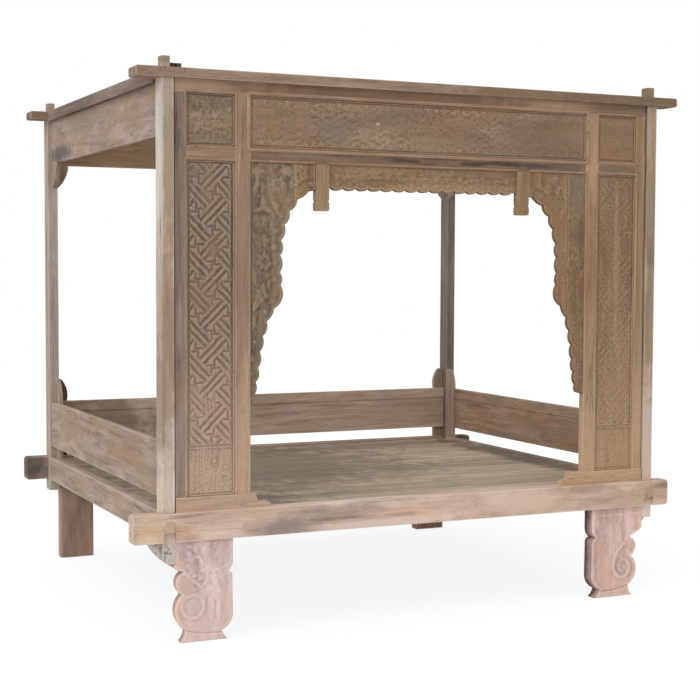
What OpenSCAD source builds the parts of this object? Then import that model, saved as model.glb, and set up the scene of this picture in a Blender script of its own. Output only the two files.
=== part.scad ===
// Old teak canopy bed: a low platform on plank legs, four posts, an open top of flat boards,
// a carved frame-and-panel front with a scalloped arch, and low guards on the other sides.
// Millimetres. X runs along the front, the front faces -Y, Z is up, the floor is Z = 0.

/* [Overall] */
// Width over the outer faces of the posts
span_w = 2200; // [2000:10:2400]
// Depth over the outer faces of the posts
span_d = 1840; // [1600:10:2000]
// Height of the legs, floor to the underside of the platform rails
leg_h = 386; // [320:2:450]
// Height of the posts, underside of the rails to the shoulder under the top boards
canopy_h = 1712; // [1650:2:1800]
// Clearance in mortises, grooves and halvings
fit = 0.3; // [0.2:0.05:0.4]

/* [Posts] */
// Width of a post along the front
post_w = 46; // [42:1:54]
// Depth of a post from front to back
post_d = 74; // [68:1:84]
// How far a back post's end, and the front right one's, reach below the rails
post_drop = 52; // [40:1:60]
// How far the front left post's end reaches below the rails
post_drop_long = 84; // [70:1:90]
// Thickness of a front post's end, which laps the ear of its leg
post_lap = 25; // [20:1:28]
// Width of the tenon at the head of a post
head_tenon_w = 32; // [24:1:34]
// Depth of the tenon at the head of a post
head_tenon_d = 45; // [36:1:50]
// Distance from the post's outer face to its head tenon
head_inset = 5; // [3:1:8]
// How far the head tenon stands above the top boards
head_tenon_show = 42; // [20:1:60]

/* [Platform rails] */
// Height of the platform rails
rail_h = 108; // [100:1:120]
// Thickness of the front and back rails
rail_t = 56; // [50:1:64]
// How far the front and back rails stand proud of the posts
rail_proud = 18; // [12:1:22]
// Depth of the notch in a post for its rail
post_seat = 19; // [15:1:24]
// Height of the cut in a rail's foot that lets the post's end through
foot_cut = 36; // [28:1:36]
// Length of the longer horns, front left and back right
horn_long = 120; // [110:1:140]
// Length of the front right horn
horn_front_right = 75; // [50:1:95]
// Length of the back left horn
horn_back_left = 105; // [70:1:110]
// Chamfer on the corners of the horns
horn_chamfer = 9; // [4:1:14]
// Thickness of the side rails
side_rail_t = 46; // [40:1:46]
// Width of the side rails' through tenons
through_w = 32; // [24:1:34]
// Height of the side rails' through tenons
through_h = 40; // [28:1:44]
// How far the through tenons show past the face of the rails
through_show = 4; // [1:1:10]

/* [Legs] */
// Thickness of the leg planks
leg_t = 56; // [50:1:60]
// How far the back legs are set in from the posts' back faces
back_leg_set = 5; // [0:1:8]
// Distance from the post's outer face to the neck of the front left leg
leg_inset_left = 80; // [74:1:88]
// Distance from the post's outer face to the neck of the front right leg
leg_inset_right = 105; // [98:1:112]
// Depth of the neck of the front left leg under the rail
neck_left = 119; // [108:1:130]
// Depth of the neck of the front right leg under the rail
neck_right = 132; // [118:1:140]
// Depth of the step along the back of the front left leg's scrolled edge
leg_relief_t = 20; // [10:1:26]
// Width of that step
leg_relief_w = 9; // [4:1:14]
// Width of a front leg below the rail, from its neck
leg_w = 197; // [170:1:220]
// Distance from the post's outer face to a back leg
back_leg_inset = 55; // [50:1:80]
// Width of a back leg
back_leg_w = 158; // [130:1:190]
// Width of each tenon on a leg
leg_tenon_w = 42; // [30:1:50]
// Thickness of the tenons on a leg
leg_tenon_t = 20; // [14:1:24]
// Length of the tenons on a leg
leg_tenon_l = 60; // [40:1:80]
// Distance of a front leg's tenons from its face
leg_tenon_set = 6; // [4:1:8]

/* [Deck] */
// Thickness of the deck boards
deck_t = 20; // [16:1:26]
// Depth of the deck's face below the top of the rails
deck_drop = 9; // [2:1:12]
// Number of deck boards
deck_count = 10; // [8:1:14]
// Gap between deck boards
deck_gap = 2; // [1:0.5:4]
// Number of bearers under the deck boards
bearer_count = 3; // [2:1:4]
// Width of a bearer
bearer_w = 52; // [40:1:70]
// Height of a bearer
bearer_h = 56; // [40:1:60]
// Length of a bearer's tenon
bearer_tenon_l = 24; // [14:1:30]
// Thickness of the ledgers on the side rails
ledger_t = 24; // [18:1:34]
// Height of the ledgers
ledger_h = 36; // [26:1:46]

/* [Guards] */
// Gap between the top of the rails and a guard
guard_gap = 54; // [40:1:80]
// Height of a guard
guard_h = 211; // [180:1:240]
// Thickness of a guard
guard_t = 20; // [16:1:22]
// Distance of a side guard's face from the post's outer face
guard_inset = 8; // [5:1:10]
// Distance of the back guard's inner face from the post's inner face
guard_back_inset = 28; // [22:1:30]
// Height of the band along the top of a guard, above its bead
guard_band = 50; // [36:1:64]
// Depth by which the face below the band is cut back
guard_step = 4; // [2:1:6]
// Length of a guard's tenon
guard_tenon_l = 24; // [14:1:30]
// Thickness of a guard's tenon
guard_tenon_t = 11; // [8:1:12]
// Thickness of the cheeks behind the guards' ends
cheek_t = 18; // [12:1:20]
// Width of the cheeks on the side rails
cheek_side_w = 72; // [60:1:90]
// Width of the cheeks on the back rail
cheek_back_w = 50; // [40:1:60]
// Height of the cheeks above the guards
cheek_rise = 104; // [80:1:130]

/* [Top] */
// Thickness of the front and back top boards
top_t = 37; // [30:1:42]
// Thickness of the side top boards
top_side_t = 46; // [43:1:52]
// Width of the front and back top boards
top_w = 100; // [90:1:120]
// Width of the side top boards
top_side_w = 92; // [84:1:110]
// How far the front and back top boards stand forward of the posts
top_proud = 10; // [4:1:16]
// How far the side top boards stand out past the posts
top_side_proud = 5; // [2:1:10]
// Length of the horns of the front top board past the posts
top_horn_front = 98; // [80:1:110]
// Length of the horns of the back top board past the posts
top_horn_back = 82; // [70:1:110]
// Depth of the side aprons
apron_h = 196; // [160:1:220]
// Thickness of the aprons
apron_t = 22; // [18:1:24]
// Distance of a side apron's face from the post's outer face
apron_inset = 20; // [14:1:22]
// Depth of the back apron
apron_back_h = 212; // [180:1:240]
// Distance of the back apron from the post's back face
apron_back_inset = 16; // [10:1:24]
// Length of the aprons' tenons
apron_tenon_l = 22; // [14:1:26]
// Thickness of the aprons' tenons
apron_tenon_t = 11; // [8:1:12]
// Width of a bracket under a side apron
bracket_side_w = 84; // [60:1:110]
// Width of a bracket under the back apron
bracket_back_w = 60; // [40:1:80]
// Height of the brackets under the aprons
bracket_h = 116; // [90:1:140]
// Length, width and height of the small nailed block
block_size = [46, 34, 18];

/* [Front frame] */
// Thickness of the front's stiles and rails
frame_t = 30; // [28:1:34]
// How far the front is set back from the posts' front faces
frame_set = 8; // [6:1:10]
// Gap between a post and the front's outer stile
frame_gap = 6; // [3:1:8]
// Width of the outer stiles
outer_stile_w = 46; // [36:1:56]
// Width of the opening for the carved column panels
column_w = 190; // [160:1:220]
// Width of the inner stiles
inner_stile_w = 62; // [50:1:74]
// Height of the rail under the top board
upper_rail_h = 49; // [40:1:60]
// Height of the carved frieze
frieze_h = 194; // [170:1:220]
// Height of the rail under the frieze
mid_rail_h = 54; // [44:1:64]
// Height of the plinths
plinth_h = 54; // [44:1:64]
// Height of the lower step of a plinth
plinth_step_h = 21; // [14:1:26]
// How far the left plinth's upper step stands out into the arch
plinth_reach_left = 20; // [14:1:40]
// How far the left plinth's lower step stands out into the arch
plinth_foot_left = 82; // [60:1:100]
// How far the right plinth's upper step stands out into the arch
plinth_reach_right = 66; // [30:1:76]
// How far the right plinth's lower step stands out into the arch
plinth_foot_right = 106; // [95:1:120]
// Forward set of the plinths, in front of the frame's face
plinth_proud = 7; // [2:1:7]
// Length of the tenons in the front's frame
frame_tenon_l = 30; // [20:1:34]
// Length of the mid rails' tenons in the inner stiles, which meet from both sides
frame_tenon_short = 26; // [16:1:28]
// Thickness of the tenons and tongues in the front's frame
frame_tenon_t = 12; // [8:1:14]
// Depth of the grooves that hold the panels
groove_d = 8; // [5:1:10]
// Thickness of the carved panels
panel_t = 14; // [10:1:15]
// How far the panels' faces lie behind the frame's face
panel_set = 8; // [5:1:8]

/* [Arch] */
// Thickness of the spandrel boards and the valance
arch_t = 18; // [14:1:19]
// How far their faces lie behind the frame's face
arch_set = 5; // [4:1:6]
// Distance from the left post's outer face to the left pendant
pendant_u_left = 617; // [560:1:660]
// Distance from the right post's outer face to the right pendant
pendant_u_right = 630; // [560:1:660]
// Width of a pendant
pendant_w = 55; // [48:1:70]
// Length of a pendant
pendant_l = 178; // [150:1:200]
// Height of a pendant's foot, below its waist
pendant_foot = 36; // [26:1:48]
// Depth of a pendant from front to back
pendant_t = 31; // [30:1:40]
// How far a pendant's face stands out past the frame's face
pendant_proud = 4; // [2:1:6]
// Length of a spandrel down its stile
spandrel_h = 922; // [800:1:1000]
// Width of the left spandrel's inner board
seam_left = 90; // [70:1:110]
// Width of the right spandrel's inner board
seam_right = 195; // [150:1:240]
// Height of the valance at its cusps
valance_h = 88; // [60:1:96]
// Number of lobes along the valance
valance_lobes = 15; // [12:1:20]
// Straight piece of its edge at the left pendant
valance_flat_left = 11; // [2:1:20]
// Straight piece of its edge at the right pendant
valance_flat_right = 21; // [2:1:30]
// Bulge of each lobe on the valance
lobe_valance = 10; // [6:1:22]
// Bulge of each lobe on the spandrels
lobe_arch = 10; // [6:1:14]
// How much narrower the left spandrel's tail is than the right one's
lean_left = 19; // [0:1:26]

/* [Fret] */
// Width of the arms of the fret's turning crosses
fret_arm = 7.5; // [5:0.5:10]
// Distance of each arm's middle from the cross's middle
fret_arm_off = 5.6; // [4:0.1:8]
// Distance of the left fret's middle row of crosses from the column's middle
fret_shift_left = 10; // [-30:1:30]
// The same for the right fret
fret_shift_right = 23; // [-30:1:30]
// Height of the left fret's top over the first cross in that row
fret_drop_left = 117; // [60:1:180]
// The same for the right fret
fret_drop_right = 129; // [60:1:180]
// Distance from one ridge of the fret to the next
fret_pitch = 22.9; // [18:0.1:30]
// Width of a ridge
fret_w = 11; // [8:0.5:14]
// Height of the ridges above the panel's ground
fret_t = 4.5; // [2:0.5:6]
// Width of the bead round the panels
bead_w = 6; // [4:0.5:9]
// Height of the bead above the panel's ground
bead_t = 5; // [2:0.5:7]
// Height of the floral field under the fret
field_h = 178; // [140:1:220]
// Height of the band between the fret and the floral field
band_h = 19; // [12:1:30]

/* [Pegs] */
// Diameter of the pegs
peg_d = 11; // [8:0.5:14]
// How far a peg's head lies below the surface
peg_sink = 1; // [0.5:0.5:3]

/* [Hidden] */
$fn = 32;
eps = 1;            // overshoot of a cutting tool
arc_steps = 6;      // straight pieces in one lobe
LEFT = 0;
RIGHT = 1;
FRONT = 0;
BACK = 1;

hw = span_w / 2;
hd = span_d / 2;

// Distances u run inwards from a post's outer face, v inwards from its front or back face,
// and z up from the underside of the platform rails.
head_u = [head_inset, head_inset + head_tenon_w];
head_v = [(post_d - head_tenon_d) / 2, (post_d + head_tenon_d) / 2];
rail_v = [-rail_proud, rail_t - rail_proud];
through_u = [(side_rail_t - through_w) / 2, (side_rail_t + through_w) / 2];
through_z = [foot_cut, foot_cut + through_h];
leg_tenon_v = [leg_tenon_set, leg_tenon_set + leg_tenon_t];
deck_z = [rail_h - deck_drop - deck_t, rail_h - deck_drop];
bearer_z = [deck_z[0] - bearer_h, deck_z[0]];
bearer_tenon_z = [bearer_z[0] + bearer_h / 5, bearer_z[1] - bearer_h / 5];
bearer_x = [for (i = [0:bearer_count - 1])
    (i + 0.5) * (span_w - 2 * side_rail_t) / bearer_count - hw + side_rail_t];
guard_z = [rail_h + guard_gap, rail_h + guard_gap + guard_h];
guard_tenon_z = [guard_z[0] + guard_h / 9, guard_z[1] - guard_band];
guard_u = [guard_inset, guard_inset + guard_t];
guard_v = [post_d - guard_back_inset - guard_t, post_d - guard_back_inset];
guard_tenon_u = [guard_u[0] + guard_step, guard_u[0] + guard_step + guard_tenon_t];
guard_tenon_v = [guard_v[0] + guard_step, guard_v[0] + guard_step + guard_tenon_t];
cheek_u = [guard_u[1], guard_u[1] + cheek_t];
cheek_v = [guard_v[0] - cheek_t, guard_v[0]];
cheek_z = [rail_h, guard_z[1] + cheek_rise];
top_z = [canopy_h, canopy_h + top_t];
top_side_z = [top_z[1] - top_side_t, top_z[1]];
top_half_z = canopy_h + top_t / 2;
top_v = [-top_proud, top_w - top_proud];
top_u = [-top_side_proud, top_side_w - top_side_proud];
apron_u = [apron_inset, apron_inset + apron_t];
apron_z = [top_side_z[0] - apron_h, top_side_z[0]];
apron_tenon_u = middle(apron_u, apron_tenon_t);
apron_tenon_z = [apron_z[0] + apron_h / 7, apron_z[1] - apron_h / 5];
apron_v = [apron_back_inset, apron_back_inset + apron_t];
apron_tenon_v = middle(apron_v, apron_tenon_t);
apron_back_z = [top_z[0] - apron_back_h, top_z[0]];
apron_back_tenon_z = [apron_back_z[0] + apron_back_h / 7, apron_back_z[1] - apron_back_h / 7];
frame_v = [frame_set, frame_set + frame_t];
tongue_v = middle(frame_v, frame_tenon_t);
panel_v = [frame_v[0] + panel_set, frame_v[0] + panel_set + panel_t];
fret_v = [panel_v[0] - fret_t, panel_v[0] + eps];
arch_v = [frame_v[0] + arch_set, frame_v[0] + arch_set + arch_t];
pendant_v = [frame_v[0] - pendant_proud, frame_v[0] - pendant_proud + pendant_t];
pendant_tenon_v = middle(pendant_v, frame_tenon_t);
outer_stile_u = [post_w + frame_gap, post_w + frame_gap + outer_stile_w];
column_u = [outer_stile_u[1], outer_stile_u[1] + column_w];
inner_stile_u = [column_u[1], column_u[1] + inner_stile_w];
arch_u = inner_stile_u[1];
upper_rail_z = [canopy_h - upper_rail_h, canopy_h];
frieze_z = [upper_rail_z[0] - frieze_h, upper_rail_z[0]];
mid_rail_z = [frieze_z[0] - mid_rail_h, frieze_z[0]];
plinth_z = [rail_h, rail_h + plinth_h];
column_z = [plinth_z[1], mid_rail_z[0]];
stile_z = [plinth_z[1], upper_rail_z[0]];
tongue = groove_d + fit;    // tenons start this far in from the edges that carry a groove

// Cusps of a spandrel from the corner under the mid rail, as shares of its width (from the
// stile to the pendant) and of its length, and the bulge of the lobe that follows each, as a share.
cusps = [[1, 0.108, 0.1], [0.905, 0.112, 0.5], [0.725, 0.148, 0.9], [0.603, 0.195, 1],
    [0.527, 0.252, 1], [0.475, 0.317, 1], [0.464, 0.379, 1], [0.459, 0.449, 0.8],
    [0.47, 0.502, 1.1], [0.472, 0.577, 0.2], [0.386, 0.598, 0.6], [0.279, 0.651, 1],
    [0.225, 0.712, 1], [0.189, 0.776, 1], [0.171, 0.842, 1], [0.146, 0.901, 0.9],
    [0.121, 0.957, 0.4], [0.112, 0.992, 0.3], [0, 1, 0]];

// Front legs: the ear outboard of the neck, and the scrolls as shares of the leg's height.
ear_l = 134;
ear_chip = 25;      // depth and width of the open corner beside the post's end

wood_face = [0.56, 0.45, 0.35];
wood_post = [0.70, 0.63, 0.56];
wood_leg = [0.72, 0.57, 0.50];
wood_rail = [0.68, 0.55, 0.45];
wood_deck = [0.47, 0.43, 0.35];
wood_side = [0.60, 0.52, 0.45];
wood_dark = [0.40, 0.33, 0.27];
wood_panel = [0.50, 0.41, 0.32];

function grow(range, by) = [range[0] - by, range[1] + by];
function middle(range, t) = [(range[0] + range[1] - t) / 2, (range[0] + range[1] + t) / 2];
function pendant_at(u) = [u, u + pendant_w];

// Points from p towards q, q left out, on an arc whose middle stands s to the left of the way.
function arc(p, q, s, n = arc_steps) =
    let (c = norm(q - p), d = (q - p) / c, side = [-d[1], d[0]])
    abs(s) < 0.01 ? [p] :
    let (r = (c * c / 4 + s * s) / (2 * s), centre = (p + q) / 2 + side * (s - r),
        half = 2 * atan(2 * abs(s) / c))
    [for (i = [0:n - 1]) let (a = -half + 2 * half * i / n)
        centre + r * cos(a) * side + abs(r) * sin(a) * d];

// Chain of arcs through pts with the same bulge s, the last point left out.
function lobes(pts, s, n = arc_steps) =
    [for (i = [0:len(pts) - 2]) each arc(pts[i], pts[i + 1], s, n)];

// Board's outline between the limits in x and z, its corners cut by c.
function cut_ends(x, z, c) = [[x[0] + c, z[0]], [x[1] - c, z[0]], [x[1], z[0] + c],
    [x[1], z[1] - c], [x[1] - c, z[1]], [x[0] + c, z[1]], [x[0], z[1] - c], [x[0], z[0] + c]];

// Puts a drawing made for the front left corner at any corner.
module corner(side, end) {
    mirror([side == RIGHT ? 1 : 0, 0, 0])
        mirror([0, end == BACK ? 1 : 0, 0])
            translate([-hw, -hd, leg_h]) children();
}

// Puts a drawing made for the front, centred on X, at the front or the back.
module run(end) {
    mirror([0, end == BACK ? 1 : 0, 0]) translate([0, -hd, leg_h]) children();
}

// Puts a drawing made for the left side, centred on Y, at the left or the right.
module flank(side) {
    mirror([side == RIGHT ? 1 : 0, 0, 0]) translate([-hw, 0, leg_h]) children();
}

// Repeats a drawing made for the left end of a front board at both ends.
module both_ends() {
    for (side = [LEFT, RIGHT]) mirror([side, 0, 0]) translate([-hw, 0, 0]) children();
}

// Square-edged timber between the limits given on each axis.
module bar(x, y, z) {
    translate([x[0], y[0], z[0]]) cube([x[1] - x[0], y[1] - y[0], z[1] - z[0]]);
}

// Board cut to an outline in X and Z, between two limits in Y.
module board_xz(points, y) {
    translate([0, y[1], 0]) rotate([90, 0, 0]) linear_extrude(y[1] - y[0]) polygon(points);
}

// Board cut to an outline in Y and Z, between two limits in X.
module board_yz(points, x) {
    translate([x[0], 0, 0]) rotate([90, 0, 90]) linear_extrude(x[1] - x[0]) polygon(points);
}

// Posts and platform

// Post for the front left corner; foot is the outline, in u and z, of its end below the rails.
module post(end, foot) {
    color(wood_post) difference() {
        union() {
            bar([0, post_w], [0, post_d], [0, canopy_h]);
            bar(head_u, head_v, [canopy_h, top_z[1] + head_tenon_show]);
            board_xz(foot, [0, end == FRONT ? post_lap : post_d]);
        }
        bar([-eps, post_w + eps], [-eps, post_seat], [foot_cut - fit, rail_h + fit]);
        bar(grow(through_u, fit), [0, post_d + eps], grow(through_z, fit));
        bar(grow(apron_tenon_u, fit), [post_d - apron_tenon_l - fit, post_d + eps],
            grow(apron_tenon_z, fit));
        bar(grow(guard_tenon_u, fit), [post_d - guard_tenon_l - fit, post_d + eps],
            grow(guard_tenon_z, fit));
        if (end == FRONT)
            bar([post_w - groove_d - fit, post_w + eps], grow(tongue_v, fit),
                [rail_h, canopy_h + eps]);
        if (end == BACK) {
            bar([post_w - apron_tenon_l - fit, post_w + eps], grow(apron_tenon_v, fit),
                grow(apron_back_tenon_z, fit));
            bar([post_w - guard_tenon_l - fit, post_w + eps], grow(guard_tenon_v, fit),
                grow(guard_tenon_z, fit));
        }
        through_peg(peg_d + fit, eps);
    }
}

// The peg through a post and its side rail's tenon, driven from the post's inner face.
module through_peg(d, past) {
    translate([through_u[0] / 2, (post_seat + post_d) / 2, (through_z[0] + through_z[1]) / 2])
        rotate([0, 90, 0]) cylinder(d = d, h = post_w - through_u[0] / 2 + past);
}

// Outline of a post's end: straight, or sawn to the curve of the leg's ear.
function foot_straight(drop) = [[0, -drop], [post_w, -drop], [post_w, 0], [0, 0]];
function foot_curved(inset, neck, drop) = concat(
    [for (p = ear_curve(neck)) if (inset + p[0] > 0 && inset + p[0] < post_w && p[1] > -drop)
        [inset + p[0], p[1]]],
    [[post_w - 4, -drop], [post_w, -drop + 4], [post_w, 0], [0, 0], [0, -ear_depth(inset, neck)]]);

// Front or back platform rail, drawn for the front; the children are cut out of it.
module end_rail(tint, horn_left, horn_right, leg_left, leg_right, leg_width) {
    color(tint) difference() {
        board_xz(cut_ends([-hw - horn_left, hw + horn_right], [0, rail_h], horn_chamfer), rail_v);
        both_ends() {
            bar(grow([0, post_w], fit), [post_seat, rail_v[1] + eps], [foot_cut - eps, rail_h + eps]);
            bar(grow([0, post_w], fit), grow(rail_v, eps), [-eps, foot_cut]);
            bar(grow(through_u, fit), grow(rail_v, eps), [foot_cut - eps, through_z[1] + fit]);
        }
        translate([-hw, 0, 0]) leg_joint(leg_left, leg_width);
        mirror([1, 0, 0]) translate([-hw, 0, 0]) leg_joint(leg_right, leg_width);
        for (x = bearer_x)
            bar(grow([x - bearer_w / 2, x + bearer_w / 2], fit),
                [rail_v[1] - bearer_tenon_l - fit, rail_v[1] + eps], grow(bearer_tenon_z, fit));
    }
}

// Middles of a leg's two tenons.
function leg_tenon_u(inset, w) = [for (k = [0.27, 0.76]) inset + k * w];

// Mortises and peg holes for a leg, as cut from the rail above it.
module leg_joint(inset, w) {
    leg_tenons(inset, w, fit);
    leg_pegs(inset, w, peg_d + fit, eps);
}

module leg_tenons(inset, w, slack) {
    for (u = leg_tenon_u(inset, w))
        bar(grow([u - leg_tenon_w / 2, u + leg_tenon_w / 2], slack), grow(leg_tenon_v, slack),
            [slack > 0 ? -eps : 0, leg_tenon_l + slack]);
}

// Pegs driven from the rail's inner face through a leg's tenons, without reaching its face.
module leg_pegs(inset, w, d, past) {
    for (u = leg_tenon_u(inset, w))
        translate([u, rail_v[1] + past, leg_tenon_l / 2]) rotate([90, 0, 0])
            cylinder(d = d, h = rail_v[1] + past + rail_proud / 3);
}

module front_rail() {
    run(FRONT) end_rail(wood_rail, horn_long, horn_front_right, leg_inset_left, leg_inset_right, leg_w);
}

module back_rail() {
    run(BACK)
        end_rail(wood_dark, horn_back_left, horn_long, back_leg_inset, back_leg_inset, back_leg_w);
}

// Side rail, shouldered between the posts, with a tenon right through each end joint.
module side_rail(side) {
    color(wood_side) difference() {
        flank(side) union() {
            bar([0, side_rail_t], [-hd + post_d, hd - post_d], [0, rail_h]);
            bar(through_u, grow([-hd, hd], rail_proud + through_show), through_z);
        }
        corner(side, FRONT) through_peg(peg_d + fit, eps);
        corner(side, BACK) through_peg(peg_d + fit, eps);
    }
}

function ear_curve(neck) = arc([-ear_l, 0], [0, -neck], -15, 12);

// Depth of the ear's curve under the post's outer face.
function ear_depth(inset, neck) = -lookup(-inset, concat(ear_curve(neck), [[0, -neck]]));

// Outline of a front leg below the rail, in u and z: down its scrolled outer edge from the ear,
// and up its inner edge from the foot, past the notch between its two rounded shoulders.
function leg_outline(inset, neck) =
    let (w = leg_w, h = leg_h, waist = -neck - 0.393 * (0.876 * h - neck))
    [for (p = concat(
        ear_curve(neck),
        arc([0, -neck], [-0.035 * w, waist], -0.14 * w, 9),
        arc([-0.035 * w, waist], [0.025 * w, -0.876 * h], -0.17 * w, 9),
        arc([0.025 * w, -0.876 * h], [-0.07 * w, -h], 0.03 * w),
        [[-0.07 * w, -h]],
        arc([0.9 * w, -h], [0.775 * w, -0.909 * h], 0.02 * w, 4),
        arc([0.775 * w, -0.909 * h], [w, -0.733 * h], -0.07 * w),
        [[w, -0.733 * h]],
        arc([0.99 * w, -0.375 * h], [0.895 * w, -0.33 * h], -0.02 * w, 4),
        arc([0.895 * w, -0.33 * h], [w, -0.223 * h], -0.03 * w),
        [[w, -0.223 * h], [w, 0]])) [inset + p[0], p[1]]];

// Front leg: a thick plank with scrolled edges, whose ear is thinned behind the post's end.
// outer is how far its ear may reach past the post's outer face, and relief the depth of the
// step along the back of its scrolled edge.
module front_leg(inset, neck, outer, relief) {
    outline = leg_outline(inset, neck);
    color(wood_leg) difference() {
        union() {
            board_xz(outline, [0, leg_t - relief]);
            if (relief > 0) intersection() {
                board_xz(outline, [0, leg_t]);
                union() {
                    translate([leg_relief_w, 0, 0]) board_xz(outline, [0, leg_t]);
                    bar([inset - ear_l - eps, inset + leg_w / 2], grow([0, leg_t], eps), [-neck, eps]);
                }
            }
            leg_tenons(inset, leg_w, 0);
        }
        bar([-fit, post_w + fit], [-eps, post_lap + fit], [-neck - eps, eps]);
        if (outer > 0) bar([-ear_chip, eps], [-eps, post_lap + fit], [-ear_chip, eps]);
        if (outer < ear_l) bar([-ear_l - eps, -outer], grow([0, leg_t], eps), [-neck, eps]);
        leg_pegs(inset, leg_w, peg_d + fit, eps);
    }
}

module back_leg() {
    color(wood_dark) difference() {
        union() {
            bar([back_leg_inset, back_leg_inset + back_leg_w], [back_leg_set, back_leg_set + leg_t],
                [-leg_h, 0]);
            leg_tenons(back_leg_inset, back_leg_w, 0);
        }
        leg_pegs(back_leg_inset, back_leg_w, peg_d + fit, eps);
    }
}

// Deck boards lie along X between the side rails, on the bearers and the ledgers.
module deck_boards() {
    run_l = span_d - 2 * rail_v[1] - 2 * fit;
    pitch = (run_l + deck_gap) / deck_count;
    color(wood_deck) translate([0, -hd + rail_v[1] + fit, leg_h])
        for (i = [0:deck_count - 1])
            bar(grow([-hw, hw], -side_rail_t - fit), [i * pitch, (i + 1) * pitch - deck_gap], deck_z);
}

module bearers() {
    l = hd - rail_v[1];
    color(wood_dark) translate([0, 0, leg_h]) for (x = bearer_x) union() {
        bar([x - bearer_w / 2, x + bearer_w / 2], [-l, l], bearer_z);
        bar([x - bearer_w / 2, x + bearer_w / 2], grow([-l, l], bearer_tenon_l), bearer_tenon_z);
    }
}

module ledgers() {
    color(wood_dark) for (side = [LEFT, RIGHT]) flank(side)
        bar([side_rail_t, side_rail_t + ledger_t], [-hd + post_d, hd - post_d],
            [deck_z[0] - ledger_h, deck_z[0]]);
}

// Guards and cheeks

// Side guard between a front and a back post, its inner face cut back below the band.
module side_guard() {
    l = hd - post_d;
    color(wood_side) difference() {
        union() {
            bar(guard_u, [-l, l], guard_z);
            bar(guard_tenon_u, grow([-l, l], guard_tenon_l), guard_tenon_z);
        }
        bar([guard_u[1] - guard_step, guard_u[1] + eps], [-l - eps, l - cheek_side_w],
            [guard_z[0] - eps, guard_z[1] - guard_band]);
    }
}

module guard_back() {
    l = hw - post_w;
    color(wood_side) run(BACK) difference() {
        union() {
            bar([-l, l], guard_v, guard_z);
            bar(grow([-l, l], guard_tenon_l), guard_tenon_v, guard_tenon_z);
        }
        bar(grow([-l, l], eps), [guard_v[1] - guard_step, guard_v[1] + eps],
            [guard_z[0] - eps, guard_z[1] - guard_band]);
    }
}

// Outline of a cheek of width w whose straight edge stands against the post.
function cheek_outline(w) = concat([[0, cheek_z[0]], [w, cheek_z[0]]],
    arc([w, guard_z[1]], [w * 0.45, cheek_z[1]], -cheek_rise * 0.13, 8),
    [[w * 0.45, cheek_z[1]], [0, cheek_z[1]]]);

module cheek_side() {
    color(wood_side) translate([0, post_d, 0]) board_yz(cheek_outline(cheek_side_w), cheek_u);
}

module cheek_back() {
    color(wood_dark) translate([post_w, 0, 0]) board_xz(cheek_outline(cheek_back_w), cheek_v);
}

// Top

// Front or back top board: horned, halved from above for the side boards.
module top_end(horn) {
    color(wood_side) difference() {
        board_xz(cut_ends([-hw - horn, hw + horn], top_z, horn_chamfer / 2), top_v);
        both_ends() {
            bar(grow(top_u, fit), grow(top_v, eps), [top_half_z, top_z[1] + eps]);
            bar(grow(head_u, fit), grow(head_v, fit), grow(top_z, eps));
        }
    }
}

// Side top board: halved from below over the front and back boards.
module top_side() {
    color(wood_side) difference() {
        bar(top_u, grow([-hd, hd], top_proud), top_side_z);
        for (end = [FRONT, BACK]) mirror([0, end, 0]) translate([0, -hd, 0]) {
            bar(grow(top_u, eps), [top_v[0] - eps, top_v[1] + fit], [top_side_z[0] - eps, top_half_z]);
            bar(grow(head_u, fit), grow(head_v, fit), grow(top_side_z, eps));
        }
    }
}

// Side apron; its ends stand up behind the side board's halving to the boards across it.
module apron_side() {
    l = hd - post_d;
    color(wood_side) union() {
        bar(apron_u, [-l, l], apron_z);
        bar(apron_tenon_u, grow([-l, l], apron_tenon_l), apron_tenon_z);
        for (end = [FRONT, BACK]) mirror([0, end, 0])
            bar(apron_u, [-l, -hd + top_v[1]], [apron_z[0], top_z[0]]);
    }
}

module apron_back() {
    l = hw - post_w;
    color(wood_dark) run(BACK) union() {
        bar([-l, l], apron_v, apron_back_z);
        bar(grow([-l, l], apron_tenon_l), apron_tenon_v, apron_back_tenon_z);
    }
}

// Outline of a bracket of width w, its straight edges against the post and the apron at z.
function bracket_outline(w, z) = concat([[0, z], [0, z - bracket_h]],
    arc([0, z - bracket_h], [w, z - bracket_h / 6], -w * 0.16, 8),
    [[w, z - bracket_h / 6], [w, z]]);

module bracket_side() {
    color(wood_side) translate([0, post_d, 0])
        board_yz(bracket_outline(bracket_side_w, apron_z[0]), apron_u);
}

module bracket_back() {
    color(wood_dark) translate([post_w, 0, 0])
        board_xz(bracket_outline(bracket_back_w, apron_back_z[0]), apron_v);
}

module nailed_block() {
    color(wood_post) corner(LEFT, FRONT)
        translate([head_u[1] + fit, middle(head_v, block_size[1])[0], top_z[1]]) cube(block_size);
}

// Carved front

module upper_rail() {
    l = hw - outer_stile_u[0];
    color(wood_face) run(FRONT) difference() {
        union() {
            bar([-l, l], frame_v, upper_rail_z);
            bar(grow([-l, l], frame_gap + groove_d), tongue_v, upper_rail_z);
        }
        both_ends() {
            stile_mortises([upper_rail_z[0] - eps, upper_rail_z[0] + frame_tenon_l + fit]);
            bar(grow(column_u, tongue), grow(panel_v, fit),
                [upper_rail_z[0] - eps, upper_rail_z[0] + tongue]);
        }
        bar(grow([-hw + arch_u, hw - arch_u], tongue), grow(panel_v, fit),
            [upper_rail_z[0] - eps, upper_rail_z[0] + tongue]);
    }
}

// Mortises for both stiles of a column.
module stile_mortises(z) {
    for (u = [outer_stile_u, inner_stile_u]) bar(grow(u, -groove_d), grow(tongue_v, fit), z);
}

// Groove cut into the edge at u, from the side it faces: -1 from the outer side, 1 from the inner.
module edge_groove(u, faces, v, z) {
    bar(faces > 0 ? [u - tongue, u + eps] : [u - eps, u + tongue], grow(v, fit), z);
}

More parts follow.
